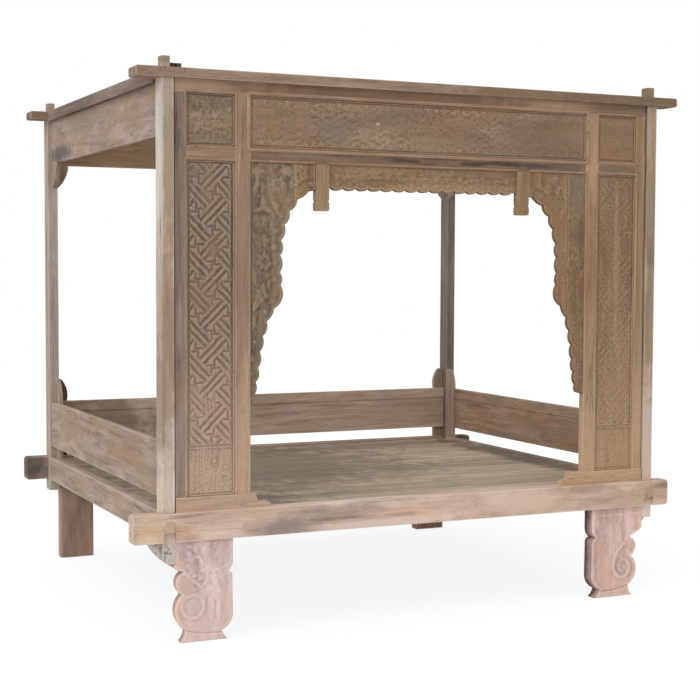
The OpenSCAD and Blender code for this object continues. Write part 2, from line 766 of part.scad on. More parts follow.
// Stile with tenons at both ends.
module stile(u) {
    bar(u, frame_v, stile_z);
    bar(grow(u, -tongue), tongue_v, grow(stile_z, frame_tenon_l));
}

module outer_stile() {
    color(wood_face) difference() {
        union() {
            stile(outer_stile_u);
            bar([post_w - groove_d, outer_stile_u[0] + eps], tongue_v, stile_z);
        }
        edge_groove(outer_stile_u[1], 1, panel_v, [column_z[0] - eps, column_z[1] + tongue]);
        edge_groove(outer_stile_u[1], 1, panel_v, [frieze_z[0] - tongue, frieze_z[1] + eps]);
        bar([outer_stile_u[1] - frame_tenon_l - fit, outer_stile_u[1] + eps], grow(tongue_v, fit),
            grow(mid_rail_z, -groove_d));
    }
}

module inner_stile() {
    color(wood_face) difference() {
        stile(inner_stile_u);
        edge_groove(inner_stile_u[0], -1, panel_v, [column_z[0] - eps, column_z[1] + tongue]);
        edge_groove(inner_stile_u[0], -1, panel_v, [frieze_z[0] - tongue, frieze_z[1] + eps]);
        edge_groove(inner_stile_u[1], 1, panel_v, [frieze_z[0] - tongue, frieze_z[1] + eps]);
        edge_groove(inner_stile_u[1], 1, arch_v, [column_z[1] - spandrel_h - fit, column_z[1] + tongue]);
        bar([inner_stile_u[0] - eps, inner_stile_u[0] + frame_tenon_short + fit],
            grow(tongue_v, fit), grow(mid_rail_z, -groove_d));
        bar([inner_stile_u[1] - frame_tenon_short - fit, inner_stile_u[1] + eps],
            grow(tongue_v, fit), grow(mid_rail_z, -groove_d));
    }
}

// Rail between the two panels of a column.
module mid_rail_column() {
    color(wood_face) difference() {
        union() {
            bar(column_u, frame_v, mid_rail_z);
            bar([column_u[0] - frame_tenon_l, column_u[1] + frame_tenon_short], tongue_v,
                grow(mid_rail_z, -tongue));
        }
        for (z = [[mid_rail_z[0] - eps, mid_rail_z[0] + tongue],
                [mid_rail_z[1] - tongue, mid_rail_z[1] + eps]])
            bar(grow(column_u, eps), grow(panel_v, fit), z);
    }
}

module mid_rail_centre() {
    l = hw - arch_u;
    color(wood_face) run(FRONT) difference() {
        union() {
            bar([-l, l], frame_v, mid_rail_z);
            bar(grow([-l, l], frame_tenon_short), tongue_v, grow(mid_rail_z, -tongue));
        }
        bar(grow([-l, l], eps), grow(panel_v, fit), [mid_rail_z[1] - tongue, mid_rail_z[1] + eps]);
        bar(grow([-l, l], eps), grow(arch_v, fit), [mid_rail_z[0] - eps, mid_rail_z[0] + tongue]);
        translate([-hw, 0, 0]) pendant_mortise(pendant_u_left);
        mirror([1, 0, 0]) translate([-hw, 0, 0]) pendant_mortise(pendant_u_right);
    }
}

module pendant_mortise(u) {
    bar(grow(pendant_at(u), -groove_d), grow(pendant_tenon_v, fit),
        [mid_rail_z[0] - eps, mid_rail_z[0] + frame_tenon_l + fit]);
}

// Plinth: a stepped board that stands on the front rail and carries both stiles of a column.
module plinth(reach, foot) {
    u0 = outer_stile_u[0];
    u1 = arch_u + reach;
    u2 = arch_u + foot;
    step = plinth_z[0] + plinth_step_h;
    outline = concat([[u0, plinth_z[0]]], arc([u2, plinth_z[0]], [u2 - 10, step], -2, 4),
        [[u2 - 10, step]], arc([u1 + 12, step], [u1, plinth_z[1]], 3, 4),
        [[u1, plinth_z[1]], [u0, plinth_z[1]]]);
    color(wood_face) difference() {
        union() {
            board_xz(outline, [frame_v[0] - plinth_proud, frame_v[1]]);
            bar([post_w - groove_d, u0 + eps], tongue_v, plinth_z);
        }
        stile_mortises([plinth_z[1] - frame_tenon_l - fit, plinth_z[1] + eps]);
        bar(grow(column_u, tongue), grow(panel_v, fit), [plinth_z[1] - tongue, plinth_z[1] + eps]);
    }
}

// Panel with a bead round its sight edge, standing in its grooves.
module panel(x, z) {
    bar(grow(x, groove_d), panel_v, grow(z, groove_d));
    difference() {
        bar(x, [panel_v[0] - bead_t, panel_v[1]], z);
        bar(grow(x, -bead_w), [panel_v[0] - bead_t - eps, panel_v[0]], grow(z, -bead_w));
    }
}

module square_panel() { color(wood_panel) panel(column_u, frieze_z); }

module frieze_panel() {
    color(wood_panel) run(FRONT) panel([-hw + arch_u, hw - arch_u], frieze_z);
}

// Ridges of the fret run both ways at 45 degrees. They lie in squares of four pitches, like a
// chequerboard: three ridges run down in one square and up in the next, the middle one reaching
// across into its neighbours.
module fret_square(i, j) {
    p = 4 * fret_pitch;
    for (k = [1:3]) let (past = k == 2 ? fret_pitch : 0)
        if ((i + j) % 2 == 0)
            bar(grow([i * p, (i + 1) * p], past), fret_v,
                grow([j * p + k * fret_pitch, j * p + k * fret_pitch], fret_w / 2));
        else
            bar(grow([i * p + k * fret_pitch, i * p + k * fret_pitch], fret_w / 2), fret_v,
                grow([j * p, (j + 1) * p], past));
}

// Where four squares meet, the outer ridges run on and turn inwards, and the four arms of a turning
// cross, upright and level, each a little off the middle, part their ends.
module fret_cross(i, j) {
    p = fret_pitch;
    translate([4 * i * p, 0, 4 * j * p]) mirror([(i + j) % 2 == 0 ? 0 : 1, 0, 0]) difference() {
        union() {
            bar([-p, p], fret_v, [-p, p]);
            for (a = [0:90:270]) rotate([0, a, 0]) bar([-0.7 * p, eps], fret_v, grow([p, p], fret_w / 2));
        }
        for (a = [0:90:270]) rotate([0, a - 45, 0])
            bar(grow([fret_arm_off, fret_arm_off], fret_arm / 2), grow(fret_v, 1),
                [-fret_arm / 2, 1.45 * p]);
    }
}

// Fret over the field between the limits in u and z, from a turning cross near its top.
module fret(u, z, shift, drop) {
    half_repeat = 4 * fret_pitch / sqrt(2);
    rows = ceil((z[1] - z[0]) / half_repeat);
    intersection() {
        translate([(u[0] + u[1]) / 2 + shift, 0, z[1] - drop])
            rotate([0, 45, 0])
                for (row = [-rows:2], col = [-2:2]) if ((row + col) % 2 == 0) {
                    fret_square((col - row) / 2, (col + row) / 2);
                    fret_cross((col - row) / 2, (col + row) / 2);
                }
        bar(u, fret_v, z);
    }
}

module tall_panel(shift, drop) {
    band = [column_z[0] + field_h, column_z[0] + field_h + band_h];
    color(wood_panel) union() {
        panel(column_u, column_z);
        bar(grow(column_u, -bead_w / 2), [panel_v[0] - bead_t, panel_v[1]], band);
        fret(grow(column_u, -bead_w / 2), [band[1] - band_h / 4, column_z[1] - bead_w / 2], shift, drop);
    }
}

// One board of the spandrel for the pendant at u; inner_w is the inner board's width.
module spandrel(u, inner_w, lean, inner) {
    z = column_z[1];
    seam = u - inner_w;
    pts = [for (c = cusps) [arch_u + max(0, c[0] * (u - arch_u) - lean * max(0, 2 * c[1] - 1)),
        z - c[1] * spandrel_h]];
    edge = [for (i = [0:len(pts) - 2]) each arc(pts[i], pts[i + 1], cusps[i][2] * lobe_arch)];
    outline = concat([[u + groove_d, z + groove_d], [u + groove_d, pts[0][1]]], edge,
        [[arch_u, z - spandrel_h], [arch_u - groove_d, z - spandrel_h], [arch_u - groove_d, z + groove_d]]);
    color(wood_panel) intersection() {
        board_xz(outline, arch_v);
        bar(inner ? [seam, u + groove_d + eps] : [arch_u - groove_d - eps, seam], grow(arch_v, eps),
            [z - spandrel_h - eps, z + groove_d + eps]);
    }
}

module valance() {
    x = [-hw + pendant_at(pendant_u_left)[1], hw - pendant_at(pendant_u_right)[1]];
    z = column_z[1];
    ends = [x[0] + valance_flat_left, x[1] - valance_flat_right];
    pitch = (ends[1] - ends[0]) / valance_lobes;
    edge = lobes([for (i = [0:valance_lobes]) [ends[0] + i * pitch, z - valance_h]], -lobe_valance);
    color(wood_panel) run(FRONT) board_xz(concat(
        [[x[0] - groove_d, z + groove_d], [x[0] - groove_d, z - valance_h]], edge,
        [[ends[1], z - valance_h], [x[1] + groove_d, z - valance_h], [x[1] + groove_d, z + groove_d]]),
        arch_v);
}

// Pendant: a short hanging post with a waist above its foot.
module pendant(u) {
    z = column_z[1];
    at = pendant_at(u);
    foot = z - pendant_l;
    waist = foot + pendant_foot;
    r = pendant_w / 14;
    outline = concat([[at[0], z], [at[0], waist + 2 * r]],
        [[at[0] + r, waist]], arc([at[0], waist - r], [at[0], foot + r], -1, 4),
        [[at[0], foot + r], [at[0] + r, foot], [at[1] - r, foot]],
        arc([at[1], foot + r], [at[1], waist - r], -1, 4),
        [[at[1], waist - r], [at[1] - r, waist], [at[1], waist + 2 * r], [at[1], z]]);
    color(wood_face) difference() {
        union() {
            board_xz(outline, pendant_v);
            bar(grow(at, -tongue), pendant_tenon_v, [z - eps, z + frame_tenon_l]);
        }
        edge_groove(at[0], -1, arch_v, [z - cusps[0][1] * spandrel_h - fit, z + eps]);
        edge_groove(at[1], 1, arch_v, [z - valance_h - fit, z + eps]);
    }
}

module pegs() {
    color(wood_post) {
        corner(LEFT, FRONT) leg_pegs(leg_inset_left, leg_w, peg_d, -peg_sink);
        corner(RIGHT, FRONT) leg_pegs(leg_inset_right, leg_w, peg_d, -peg_sink);
        for (side = [LEFT, RIGHT]) {
            corner(side, BACK) leg_pegs(back_leg_inset, back_leg_w, peg_d, -peg_sink);
            for (end = [FRONT, BACK]) corner(side, end) through_peg(peg_d, -peg_sink);
        }
    }
}

corner(LEFT, FRONT) post(FRONT, foot_curved(leg_inset_left, neck_left, post_drop_long));  // post_front_left
corner(RIGHT, FRONT) post(FRONT, foot_straight(post_drop));  // post_front_right
corner(LEFT, BACK) post(BACK, foot_straight(post_drop));  // post_back_left
corner(RIGHT, BACK) post(BACK, foot_straight(post_drop));  // post_back_right
front_rail();
back_rail();
side_rail(LEFT);  // left_rail
side_rail(RIGHT);  // right_rail
corner(LEFT, FRONT)   // front_leg_left
    front_leg(leg_inset_left, neck_left, ear_l, leg_relief_t);
corner(RIGHT, FRONT)   // front_leg_right
    front_leg(leg_inset_right, neck_right, 0, 0);
corner(LEFT, BACK) back_leg();  // back_leg_left
corner(RIGHT, BACK) back_leg();  // back_leg_right
deck_boards();
bearers();
ledgers();
flank(LEFT) side_guard();  // guard_left
flank(RIGHT) side_guard();  // guard_right
guard_back();
corner(LEFT, BACK) cheek_side();  // cheek_side_left
corner(RIGHT, BACK) cheek_side();  // cheek_side_right
corner(LEFT, BACK) cheek_back();  // cheek_back_left
corner(RIGHT, BACK) cheek_back();  // cheek_back_right
run(FRONT) top_end(top_horn_front);  // top_front
run(BACK) top_end(top_horn_back);  // top_back
flank(LEFT) top_side();  // top_left
flank(RIGHT) top_side();  // top_right
flank(LEFT) apron_side();  // apron_left
flank(RIGHT) apron_side();  // apron_right
apron_back();
corner(LEFT, BACK) bracket_side();  // bracket_side_left
corner(RIGHT, BACK) bracket_side();  // bracket_side_right
corner(LEFT, BACK) bracket_back();  // bracket_back_left
corner(RIGHT, BACK) bracket_back();  // bracket_back_right
nailed_block();
upper_rail();
corner(LEFT, FRONT) mid_rail_column();  // mid_rail_left
corner(RIGHT, FRONT) mid_rail_column();  // mid_rail_right
mid_rail_centre();
corner(LEFT, FRONT) plinth(plinth_reach_left, plinth_foot_left);  // plinth_left
corner(RIGHT, FRONT)   // plinth_right
    plinth(plinth_reach_right, plinth_foot_right);
corner(LEFT, FRONT) outer_stile();  // outer_stile_left
corner(RIGHT, FRONT) outer_stile();  // outer_stile_right
corner(LEFT, FRONT) inner_stile();  // inner_stile_left
corner(RIGHT, FRONT) inner_stile();  // inner_stile_right
corner(LEFT, FRONT) square_panel();  // square_panel_left
corner(RIGHT, FRONT) square_panel();  // square_panel_right
corner(LEFT, FRONT)  // tall_panel_left
    tall_panel(fret_shift_left, fret_drop_left);
corner(RIGHT, FRONT)  // tall_panel_right
    tall_panel(fret_shift_right, fret_drop_right);
frieze_panel();
corner(LEFT, FRONT)   // spandrel_outer_left
    spandrel(pendant_u_left, seam_left, lean_left, false);
corner(LEFT, FRONT)   // spandrel_inner_left
    spandrel(pendant_u_left, seam_left, lean_left, true);
corner(RIGHT, FRONT)   // spandrel_outer_right
    spandrel(pendant_u_right, seam_right, 0, false);
corner(RIGHT, FRONT)   // spandrel_inner_right
    spandrel(pendant_u_right, seam_right, 0, true);
valance();
corner(LEFT, FRONT) pendant(pendant_u_left);  // pendant_left
corner(RIGHT, FRONT) pendant(pendant_u_right);  // pendant_right
pegs();
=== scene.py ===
"""Old teak canopy bed: looks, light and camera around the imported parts.

Lengths in the making functions are millimetres in the model's own frame: X to the right as seen
from the front, Y to the back, Z up from the floor. They become metres when a mesh is made. On the
carved front a point may be given by u, its distance inwards from the outer side of the front post
on its own side, and z; the sides are -1, left, and 1, right.
"""
import math

import bpy
import numpy as np
from mathutils import Matrix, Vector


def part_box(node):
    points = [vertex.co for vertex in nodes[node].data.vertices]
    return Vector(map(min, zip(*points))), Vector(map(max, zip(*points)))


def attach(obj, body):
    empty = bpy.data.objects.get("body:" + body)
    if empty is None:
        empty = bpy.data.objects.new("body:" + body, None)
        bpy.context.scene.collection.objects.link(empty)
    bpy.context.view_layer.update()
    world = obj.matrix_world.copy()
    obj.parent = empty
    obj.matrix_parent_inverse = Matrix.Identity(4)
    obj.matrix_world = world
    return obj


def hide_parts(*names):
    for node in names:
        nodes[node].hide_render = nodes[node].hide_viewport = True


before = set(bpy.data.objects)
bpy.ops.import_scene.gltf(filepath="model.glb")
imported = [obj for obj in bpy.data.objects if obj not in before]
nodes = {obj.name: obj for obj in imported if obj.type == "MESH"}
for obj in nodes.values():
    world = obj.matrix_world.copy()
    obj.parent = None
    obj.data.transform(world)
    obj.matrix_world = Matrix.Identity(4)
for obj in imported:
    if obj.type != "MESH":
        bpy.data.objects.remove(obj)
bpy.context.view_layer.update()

MM = 0.001
HALF_W = 1100.0         # half the width over the posts
FRONT = -920.0          # outer face of the front posts
RAIL_BASE = 386.0       # underside of the platform rails
PANEL_GROUND = FRONT + 16.0
PANEL_BACK = FRONT + 30.0
FRAME_FACE = FRONT + 8.0
ARCH_FACE = FRONT + 13.0
ARCH_BACK = FRONT + 31.0
LEG_FACE = FRONT + 1.0
EAR_FACE = FRONT + 26.5
COLUMN_Z = (RAIL_BASE + 162.0, RAIL_BASE + 1415.0)
FRIEZE_Z = (RAIL_BASE + 1469.0, RAIL_BASE + 1663.0)
COLUMN_U = (98.0, 288.0)
ARCH_U = 350.0
SPANDREL_H = 922.0
VALANCE_H = 88.0        # from the valance's notches up to the arch's head
VALANCE_BAYS = 15
PENDANT_W = 55.0
GROOVE = 8.0            # depth of the grooves round the panels
BEAD_W, BEAD_H = 6.0, 5.0
CORNER_R = 12.0         # rounding of the panel borders
TONGUE_DROP = 0.1       # how far a panel's tongue lies behind its ground
EDGE_GAP = 0.2          # between a border and the first grid line outside it
LEG_H, LEG_W, LEG_T = 386.0, 197.0, 56.0
LEG_LAP = 46.3          # width of a post, which an ear passes behind
EAR = 134.0             # reach of an ear from the leg's shoulder
LEG_WALL_LEAN = 9.0     # how far the left leg's scrolled wall leans inwards to the back
WORDS = {-1: "left", 1: "right"}
PENDANT_U = {-1: 617.0, 1: 630.0}
SEAM_U = {-1: 527.0, 1: 435.0}
TAIL_LEAN = {-1: 19.0, 1: 0.0}
LEG_INSET = {-1: 80.0, 1: 105.0}
NECK = {-1: -119.0, 1: -132.0}
ARCH_X = (-HALF_W + PENDANT_U[-1] + PENDANT_W, HALF_W - PENDANT_U[1] - PENDANT_W)


# Making surfaces

def rough(x, y, size, seed, octaves=3):
    """Octaves of value noise between -1 and 1: a number at each corner of a square of the given
    size, joined by smoothstep; each octave has half the size and half the strength."""
    def at(i, j, k):
        return np.modf(np.sin(i * 127.1 + j * 311.7 + k * 74.7) * 43758.5453)[0]
    total = 0.0
    weight = 0.0
    for octave in range(octaves):
        s = size / 2 ** octave
        i, j = np.floor(x / s), np.floor(y / s)
        fx, fy = x / s - i, y / s - j
        fx, fy = fx * fx * (3 - 2 * fx), fy * fy * (3 - 2 * fy)
        k = seed + octave
        low = at(i, j, k) * (1 - fx) + at(i + 1, j, k) * fx
        high = at(i, j + 1, k) * (1 - fx) + at(i + 1, j + 1, k) * fx
        total = total + (low * (1 - fy) + high * fy) * 0.5 ** octave
        weight += 0.5 ** octave
    return total / weight


def warped(x, z, amount, net_x, net_z, octaves):
    """x and z moved about by noise; a net is the size and the seed of the noise for one of them."""
    return x + amount * rough(x, z, *net_x, octaves), z + amount * rough(x, z, *net_z, octaves)


def step(value, low, high):
    """Smoothstep: 0 at low, 1 at high, 3t^2 - 2t^3 between them."""
    t = np.clip((value - low) / (high - low), 0, 1)
    return t * t * (3 - 2 * t)


def band(d, half):
    """Rounded ridge: the square root of 1 - (d / half)^2, and 0 outside it."""
    return np.sqrt(np.clip(1 - (d / half) ** 2, 0, 1))


def edge_fall(d, depth, width):
    """Quarter round of an edge: the fall at a distance d inside it, the depth at the edge itself."""
    return depth * (1 - band(1 - np.clip(d / width, 0, 1), 1))


def polar(centre, turn, radius):
    """Point at a turn in degrees and a radius from a centre."""
    a = math.radians(turn)
    return centre[0] + radius * math.cos(a), centre[1] + radius * math.sin(a)


def mirrored(u, side):
    """X of a distance inwards from the outer side of a post; side 0 leaves it as it is."""
    return side * (HALF_W - u) if side else u


def soften(a, reach):
    """Mean of a over a square of 2 reach + 1 grid points a side, from running sums."""
    for axis in (0, 1):
        pad = [(0, 0), (0, 0)]
        pad[axis] = (reach + 1, reach)
        total = np.cumsum(np.pad(a, pad, mode="edge"), axis=axis)
        n = a.shape[axis]
        high = np.take(total, np.arange(2 * reach + 1, 2 * reach + 1 + n), axis=axis)
        low = np.take(total, np.arange(0, n), axis=axis)
        a = (high - low) / (2 * reach + 1)
    return a


def new_piece(name, points, quads, rings=(), relief=None, sharp=50.0):
    """A mesh object from points (mm), rows of quads, and rings: longer faces as lists of points."""
    mesh = bpy.data.meshes.new(name)
    corners = np.concatenate([quads.ravel(), *rings])
    sides = np.array([4] * len(quads) + [len(r) for r in rings], np.int32)
    starts = np.concatenate([[0], np.cumsum(sides)[:-1]])
    mesh.vertices.add(len(points))
    mesh.vertices.foreach_set("co", (points * MM).astype(np.float32).ravel())
    mesh.loops.add(len(corners))
    mesh.loops.foreach_set("vertex_index", corners.astype(np.int32))
    mesh.polygons.add(len(sides))
    mesh.polygons.foreach_set("loop_start", starts.astype(np.int32))
    mesh.polygons.foreach_set("loop_total", sides)
    mesh.polygons.foreach_set("use_smooth", np.ones(len(sides), bool))
    mesh.update(calc_edges=True)
    mesh.validate()
    mesh.set_sharp_from_angle(angle=math.radians(sharp))
    if relief is not None:
        layer = mesh.attributes.new("relief", "FLOAT", "POINT")
        layer.data.foreach_set("value", relief.astype(np.float32))
    piece = bpy.data.objects.new(name, mesh)
    bpy.context.scene.collection.objects.link(piece)
    return piece


def grid_quads(n, m):
    """Quads of a grid of n by m points, numbered row by row."""
    i = np.arange((n - 1) * m).reshape(n - 1, m)[:, :-1].ravel()
    return np.stack([i, i + 1, i + m + 1, i + m], axis=1)


def carved_board(name, x, z, height, face, back, back_in=0.0, reach=9, painted_shade=0.0):
    """A board whose front is a height field: the point of row i and column j lies at x, z and
    height in front of face. Straight walls and a plain back close it; back_in moves the back end
    of the wall at each row's start inwards. The attribute relief is the height over its mean
    within the reach, in grid points, less the painted shade; the wood paints shade where it is low,
    as in a hollow, and a highlight where it is high."""
    n, m = x.shape
    front = np.stack([x, face - height, z], axis=-1).reshape(-1, 3)
    inwards = np.sign(x[0, -1] - x[0, 0])
    left = np.stack([x[:, 0] + inwards * back_in, np.full(n, back), z[:, 0]], axis=-1)
    right = np.stack([x[:, -1], np.full(n, back), z[:, -1]], axis=-1)
    points = np.concatenate([front, left, right])
    a = n * m + np.arange(n)
    b = a + n
    first = np.arange(n) * m
    last = first + m - 1
    strips = [np.stack([p[:-1], p[1:], q[1:], q[:-1]], axis=1) for p, q in ((first, a), (b, last), (a, b))]
    quads = np.concatenate([grid_quads(n, m), *strips])
    rings = [np.concatenate([np.arange(m)[::-1], [a[0], b[0]]]),
             np.concatenate([first[-1] + np.arange(m), [b[-1], a[-1]]])]
    turn = (x[0, -1] - x[0, 0]) * (z[-1, 0] - z[0, 0]) - (z[0, -1] - z[0, 0]) * (x[-1, 0] - x[0, 0])
    if turn < 0:
        quads = quads[:, ::-1]
        rings = [r[::-1] for r in rings]
    relief = np.concatenate([(height - soften(height, reach) - painted_shade).ravel(), np.zeros(2 * n)])
    return new_piece(name, points, quads, rings, relief, sharp=55.0)


def span_lines(low, high, pitch):
    """Grid lines between two borders at about the pitch, and two more outside each for its tongue."""
    inner = np.linspace(low, high, max(2, int(round((high - low) / pitch)) + 1))
    return np.concatenate([[low - GROOVE, low - EDGE_GAP], inner, [high + EDGE_GAP, high + GROOVE]])


# Carving: each function gives a height in millimetres at x, z

def leaf(x, z, at, turn, length, width, curl=0.0):
    """Leaf from its stalk at a point, along a turn in degrees: half-width follows the sine of the
    way along it, the section is a rounded ridge, and a vein is cut down the middle."""
    c, s = math.cos(math.radians(turn)), math.sin(math.radians(turn))
    along = ((x - at[0]) * c + (z - at[1]) * s) / length
    across = -(x - at[0]) * s + (z - at[1]) * c - curl * along * along * length
    half = width / 2 * np.sin(np.pi * np.clip(along, 0, 1) ** 0.75) + 0.01
    body = band(across, half) * (along > 0) * (along < 1)
    vein = np.exp(-(across / (0.07 * width)) ** 2) * 0.45
    ribs = 0.12 * np.sin((along * 6 - np.abs(across) / width * 3) * 2 * np.pi)
    return body * (1 - vein + ribs)


def leaves(h, x, z, height, rows):
    """The higher of h and a row of leaves, each given as leaf takes it."""
    for row in rows:
        h = np.maximum(h, height * leaf(x, z, *row))
    return h


def flower(x, z, at, radius, petals=8, turn=0.0):
    """Rosette: petals whose edge follows a cosine of the angle, hollowed towards a round button."""
    dx, dz = x - at[0], z - at[1]
    r = np.hypot(dx, dz) / radius
    wave = np.abs(np.cos((np.arctan2(dz, dx) - math.radians(turn)) * petals / 2))
    edge = 0.72 + 0.28 * wave
    petal = band(r - 0.62 * edge, 0.46 * edge) * (0.45 + 0.55 * wave ** 0.6)
    return np.maximum(petal * (r < edge) * step(r, 0.24, 0.34), band(r, 0.24) * (r < 0.24))


# Leaves of a bay of scrollwork: place as shares of the bay and of the swing, turn, and length and
# width as shares of the bay
SPRIGS = ((-0.20, 0.62, 150, 0.20, 0.075), (0.16, 0.66, 35, 0.20, 0.075), (-0.02, 0.80, 92, 0.16, 0.07),
          (-0.22, -0.75, 205, 0.17, 0.07), (0.20, -0.72, -30, 0.17, 0.07), (0.0, -1.32, -88, 0.14, 0.08),
          (-0.13, -1.15, -130, 0.15, 0.06), (0.13, -1.15, -50, 0.15, 0.06), (0.05, 1.25, 70, 0.13, 0.06),
          (-0.10, 1.22, 120, 0.13, 0.06))


def scrollwork(x, z, low, high, pitch, seed):
    """Waving stem along X with a rosette in each bay, leaves down both sides and tips in the
    corners; the stem's middle line is a sine."""
    mid, swing = (low + high) / 2, (high - low) * 0.30
    wave, start = 2 * np.pi / pitch, x.min()
    phase = wave * (x - start)
    slope = swing * wave * np.cos(phase)
    h = 0.35 * band((z - mid - swing * np.sin(phase)) / np.sqrt(1 + slope ** 2), 5.0)
    for k in range(int(math.ceil((x.max() - start) / pitch * 2)) + 1):
        cx = start + (k + 0.5) * pitch / 2
        up = 1 if k % 2 == 0 else -1
        cols = np.nonzero(np.abs(x[0] - cx) < pitch * 0.6)[0]
        if len(cols) == 0:
            continue
        part = slice(cols[0], cols[-1] + 1)
        xs, zs, hs = x[:, part], z[:, part], h[:, part]
        centre = (cx, mid - up * swing * 0.42)
        hs = np.maximum(hs, flower(xs, zs, centre, pitch * 0.125, 6 + 2 * (k % 2), 15 * k))
        ring = np.abs(np.hypot(xs - centre[0], zs - centre[1]) - pitch * 0.175)
        hs = np.maximum(hs, 0.8 * band(ring, 2.4))
        h[:, part] = leaves(hs, xs, zs, 1, [
            ((cx + du * pitch, mid + up * dv * swing), up * a + 8 * math.sin(seed + k + j), l * pitch,
             w * pitch, 0.25 * up * (-1) ** j) for j, (du, dv, a, l, w) in enumerate(SPRIGS)])
    return h


def foliage(x, z, x_range, z_range, seed, size=26.0):
    """Dense small leaves, each in its own cell of a staggered net, turned away from the middle."""
    h = np.zeros(x.shape)
    cx, cz = sum(x_range) / 2, sum(z_range) / 2
    pitch_x, pitch_z = size * 0.8, size * 0.62
    for i in range(int((z_range[1] - z_range[0]) / pitch_z) + 1):
        for j in range(int((x_range[1] - x_range[0]) / pitch_x) + 1):
            px = x_range[0] + (j + 0.5 * (i % 2) + 0.25) * pitch_x
            pz = z_range[0] + (i + 0.3) * pitch_z
            turn = math.degrees(math.atan2(pz - cz, px - cx)) + 40 * math.sin(seed + 3.1 * i + 1.7 * j)
            near = (np.abs(x - px) < size) & (np.abs(z - pz) < size)
            h[near] = leaves(h[near], x[near], z[near], 0.9,
                             [((px, pz), turn, size * 0.9, size * 0.42, 0.2 * (-1) ** (i + j))])
    return h


def worn(h, x, z, seed, amount=0.35):
    """Carving worn unevenly: its height falls by up to the amount where a coarse noise is high."""
    return h * (1 - amount * step(rough(x, z, 90, seed), -0.2, 0.7))


def fret(u, z, cu, cz):
    """Diagonal key fret, 1 on its ridges, about a turning cross at cu, cz. Squares of four pitches
    stand on edge, three ridges to a square, running down in one and up in the next, the middle
    one reaching a pitch into its neighbours. Where four squares meet, the outer ridges run on and
    turn inwards, and four upright and level arms, each a little off the middle, part their ends."""
    pitch, half_w, arm, off = 22.9, 4.8, 4.2, 5.6
    side = 4 * pitch
    u, z = warped(u, z, 1.9, (34, 11), (31, 17), 2)
    p = ((u - cu) - (z - cz)) / math.sqrt(2)
    q = ((u - cu) + (z - cz)) / math.sqrt(2)

    def along(a, b, odd, past_outer):
        """Distance outside the ridges that run along a in every second square."""
        best = np.full(a.shape, 99.0)
        for shift in (-1, 0, 1):
            i, j = np.floor(a / side) + shift, np.floor(b / side)
            own = np.mod(i + j, 2) == odd
            for n in (1, 2, 3):
                past = pitch if n == 2 else past_outer
                over = np.maximum(np.maximum(i * side - past - a, a - (i + 1) * side - past), 0)
                gap = np.maximum(np.abs(b - j * side - n * pitch) - half_w, 0)
                best = np.where(own, np.minimum(best, np.hypot(over, gap)), best)
        return best

    plain, ends = (np.minimum(along(p, q, 0, past), along(q, p, 1, past)) for past in (0.0, 0.7 * pitch))
    m, n = np.round(p / side), np.round(q / side)
    a, b = p - m * side, q - n * side
    cross = np.minimum(np.maximum(np.maximum(np.abs(a), np.abs(b)) - pitch, 0), ends)
    x = np.where(np.mod(m + n, 2) == 0, 1.0, -1.0) * (a + b) / math.sqrt(2)
    y = (b - a) / math.sqrt(2)
    for way, reach in ((x, y), (y, -x), (-x, -y), (-y, x)):
        cut = np.minimum(arm - np.abs(way - off), np.minimum(reach + arm, 1.45 * pitch - reach))
        cross = np.maximum(cross, cut)
    return 1 - step(np.minimum(plain, cross), 0.0, 1.8)


def rim_shade(u, z, u_range, z_range):
    """Painted shade in the corner between a panel and its frame, strongest along the top and the right."""
    sides = ((1.5, u_range[1] - u, 8), (0.7, u - u_range[0], 5), (1.3, z_range[1] - z, 7), (0.6, z - z_range[0], 5))
    return np.max([share * (1 - step(d, 1, reach)) for share, d, reach in sides], axis=0)


def panel_net(u_range, z_range, pitch_u, pitch_z):
    """Grid of a sunk panel, its half-round bead just inside the borders, and the depth d inside
    them: a rectangle whose corners are rounded to CORNER_R, so d is the smaller of the two edge
    distances, or r - hypot(r - a, r - b) in a corner."""
    u, z = np.meshgrid(span_lines(*u_range, pitch_u), span_lines(*z_range, pitch_z))
    a = np.minimum(u - u_range[0], u_range[1] - u)
    b = np.minimum(z - z_range[0], z_range[1] - z)
    corner = (a < CORNER_R) & (b < CORNER_R)
    d = np.where(corner, CORNER_R - np.hypot(CORNER_R - a, CORNER_R - b), np.minimum(a, b))
    return u, z, BEAD_H * band(d - BEAD_W / 2, BEAD_W / 2 + 0.3) * (d > 0) * (d < BEAD_W), d


def sunk_panel(name, side, u, z, d, height, u_range, z_range, reach=9):
    """Board of a sunk panel; its tongue outside the borders lies just behind the ground."""
    height = np.where(d <= 0, -TONGUE_DROP, height)
    return carved_board(name, mirrored(u, side), z, height, PANEL_GROUND, PANEL_BACK, reach=reach,
                        painted_shade=rim_shade(u, z, u_range, z_range))


def inside_of(limits, margin_low, margin_high=None):
    """A range drawn in by a margin at each end."""
    return limits[0] + margin_low, limits[1] - (margin_low if margin_high is None else margin_high)


# Middle of a turning cross of each fret, and its rubbed places: middle, half sizes, share lost
FRET_AT = {-1: (203.5, 1292.0), 1: (216.5, 1282.0)}
RUBBED = {-1: ((204, 1471, 28, 34, 0.8), (178, 894, 26, 30, 0.65), (122, 1752, 30, 44, 0.5),
               (228, 1330, 20, 30, 0.4)),
          1: ((186, 1600, 20, 170, 0.4), (190, 1180, 18, 260, 0.35), (240, 1440, 26, 60, 0.4),
              (130, 980, 30, 120, 0.5))}
FIELD_H = 178           # height of the leafy field under the fret
FRET_RISE = {-1: 5.4, 1: 2.3}   # height of the ridges
FRET_DRIFT = 0.0058     # how far the pattern leans inwards per millimetre upwards


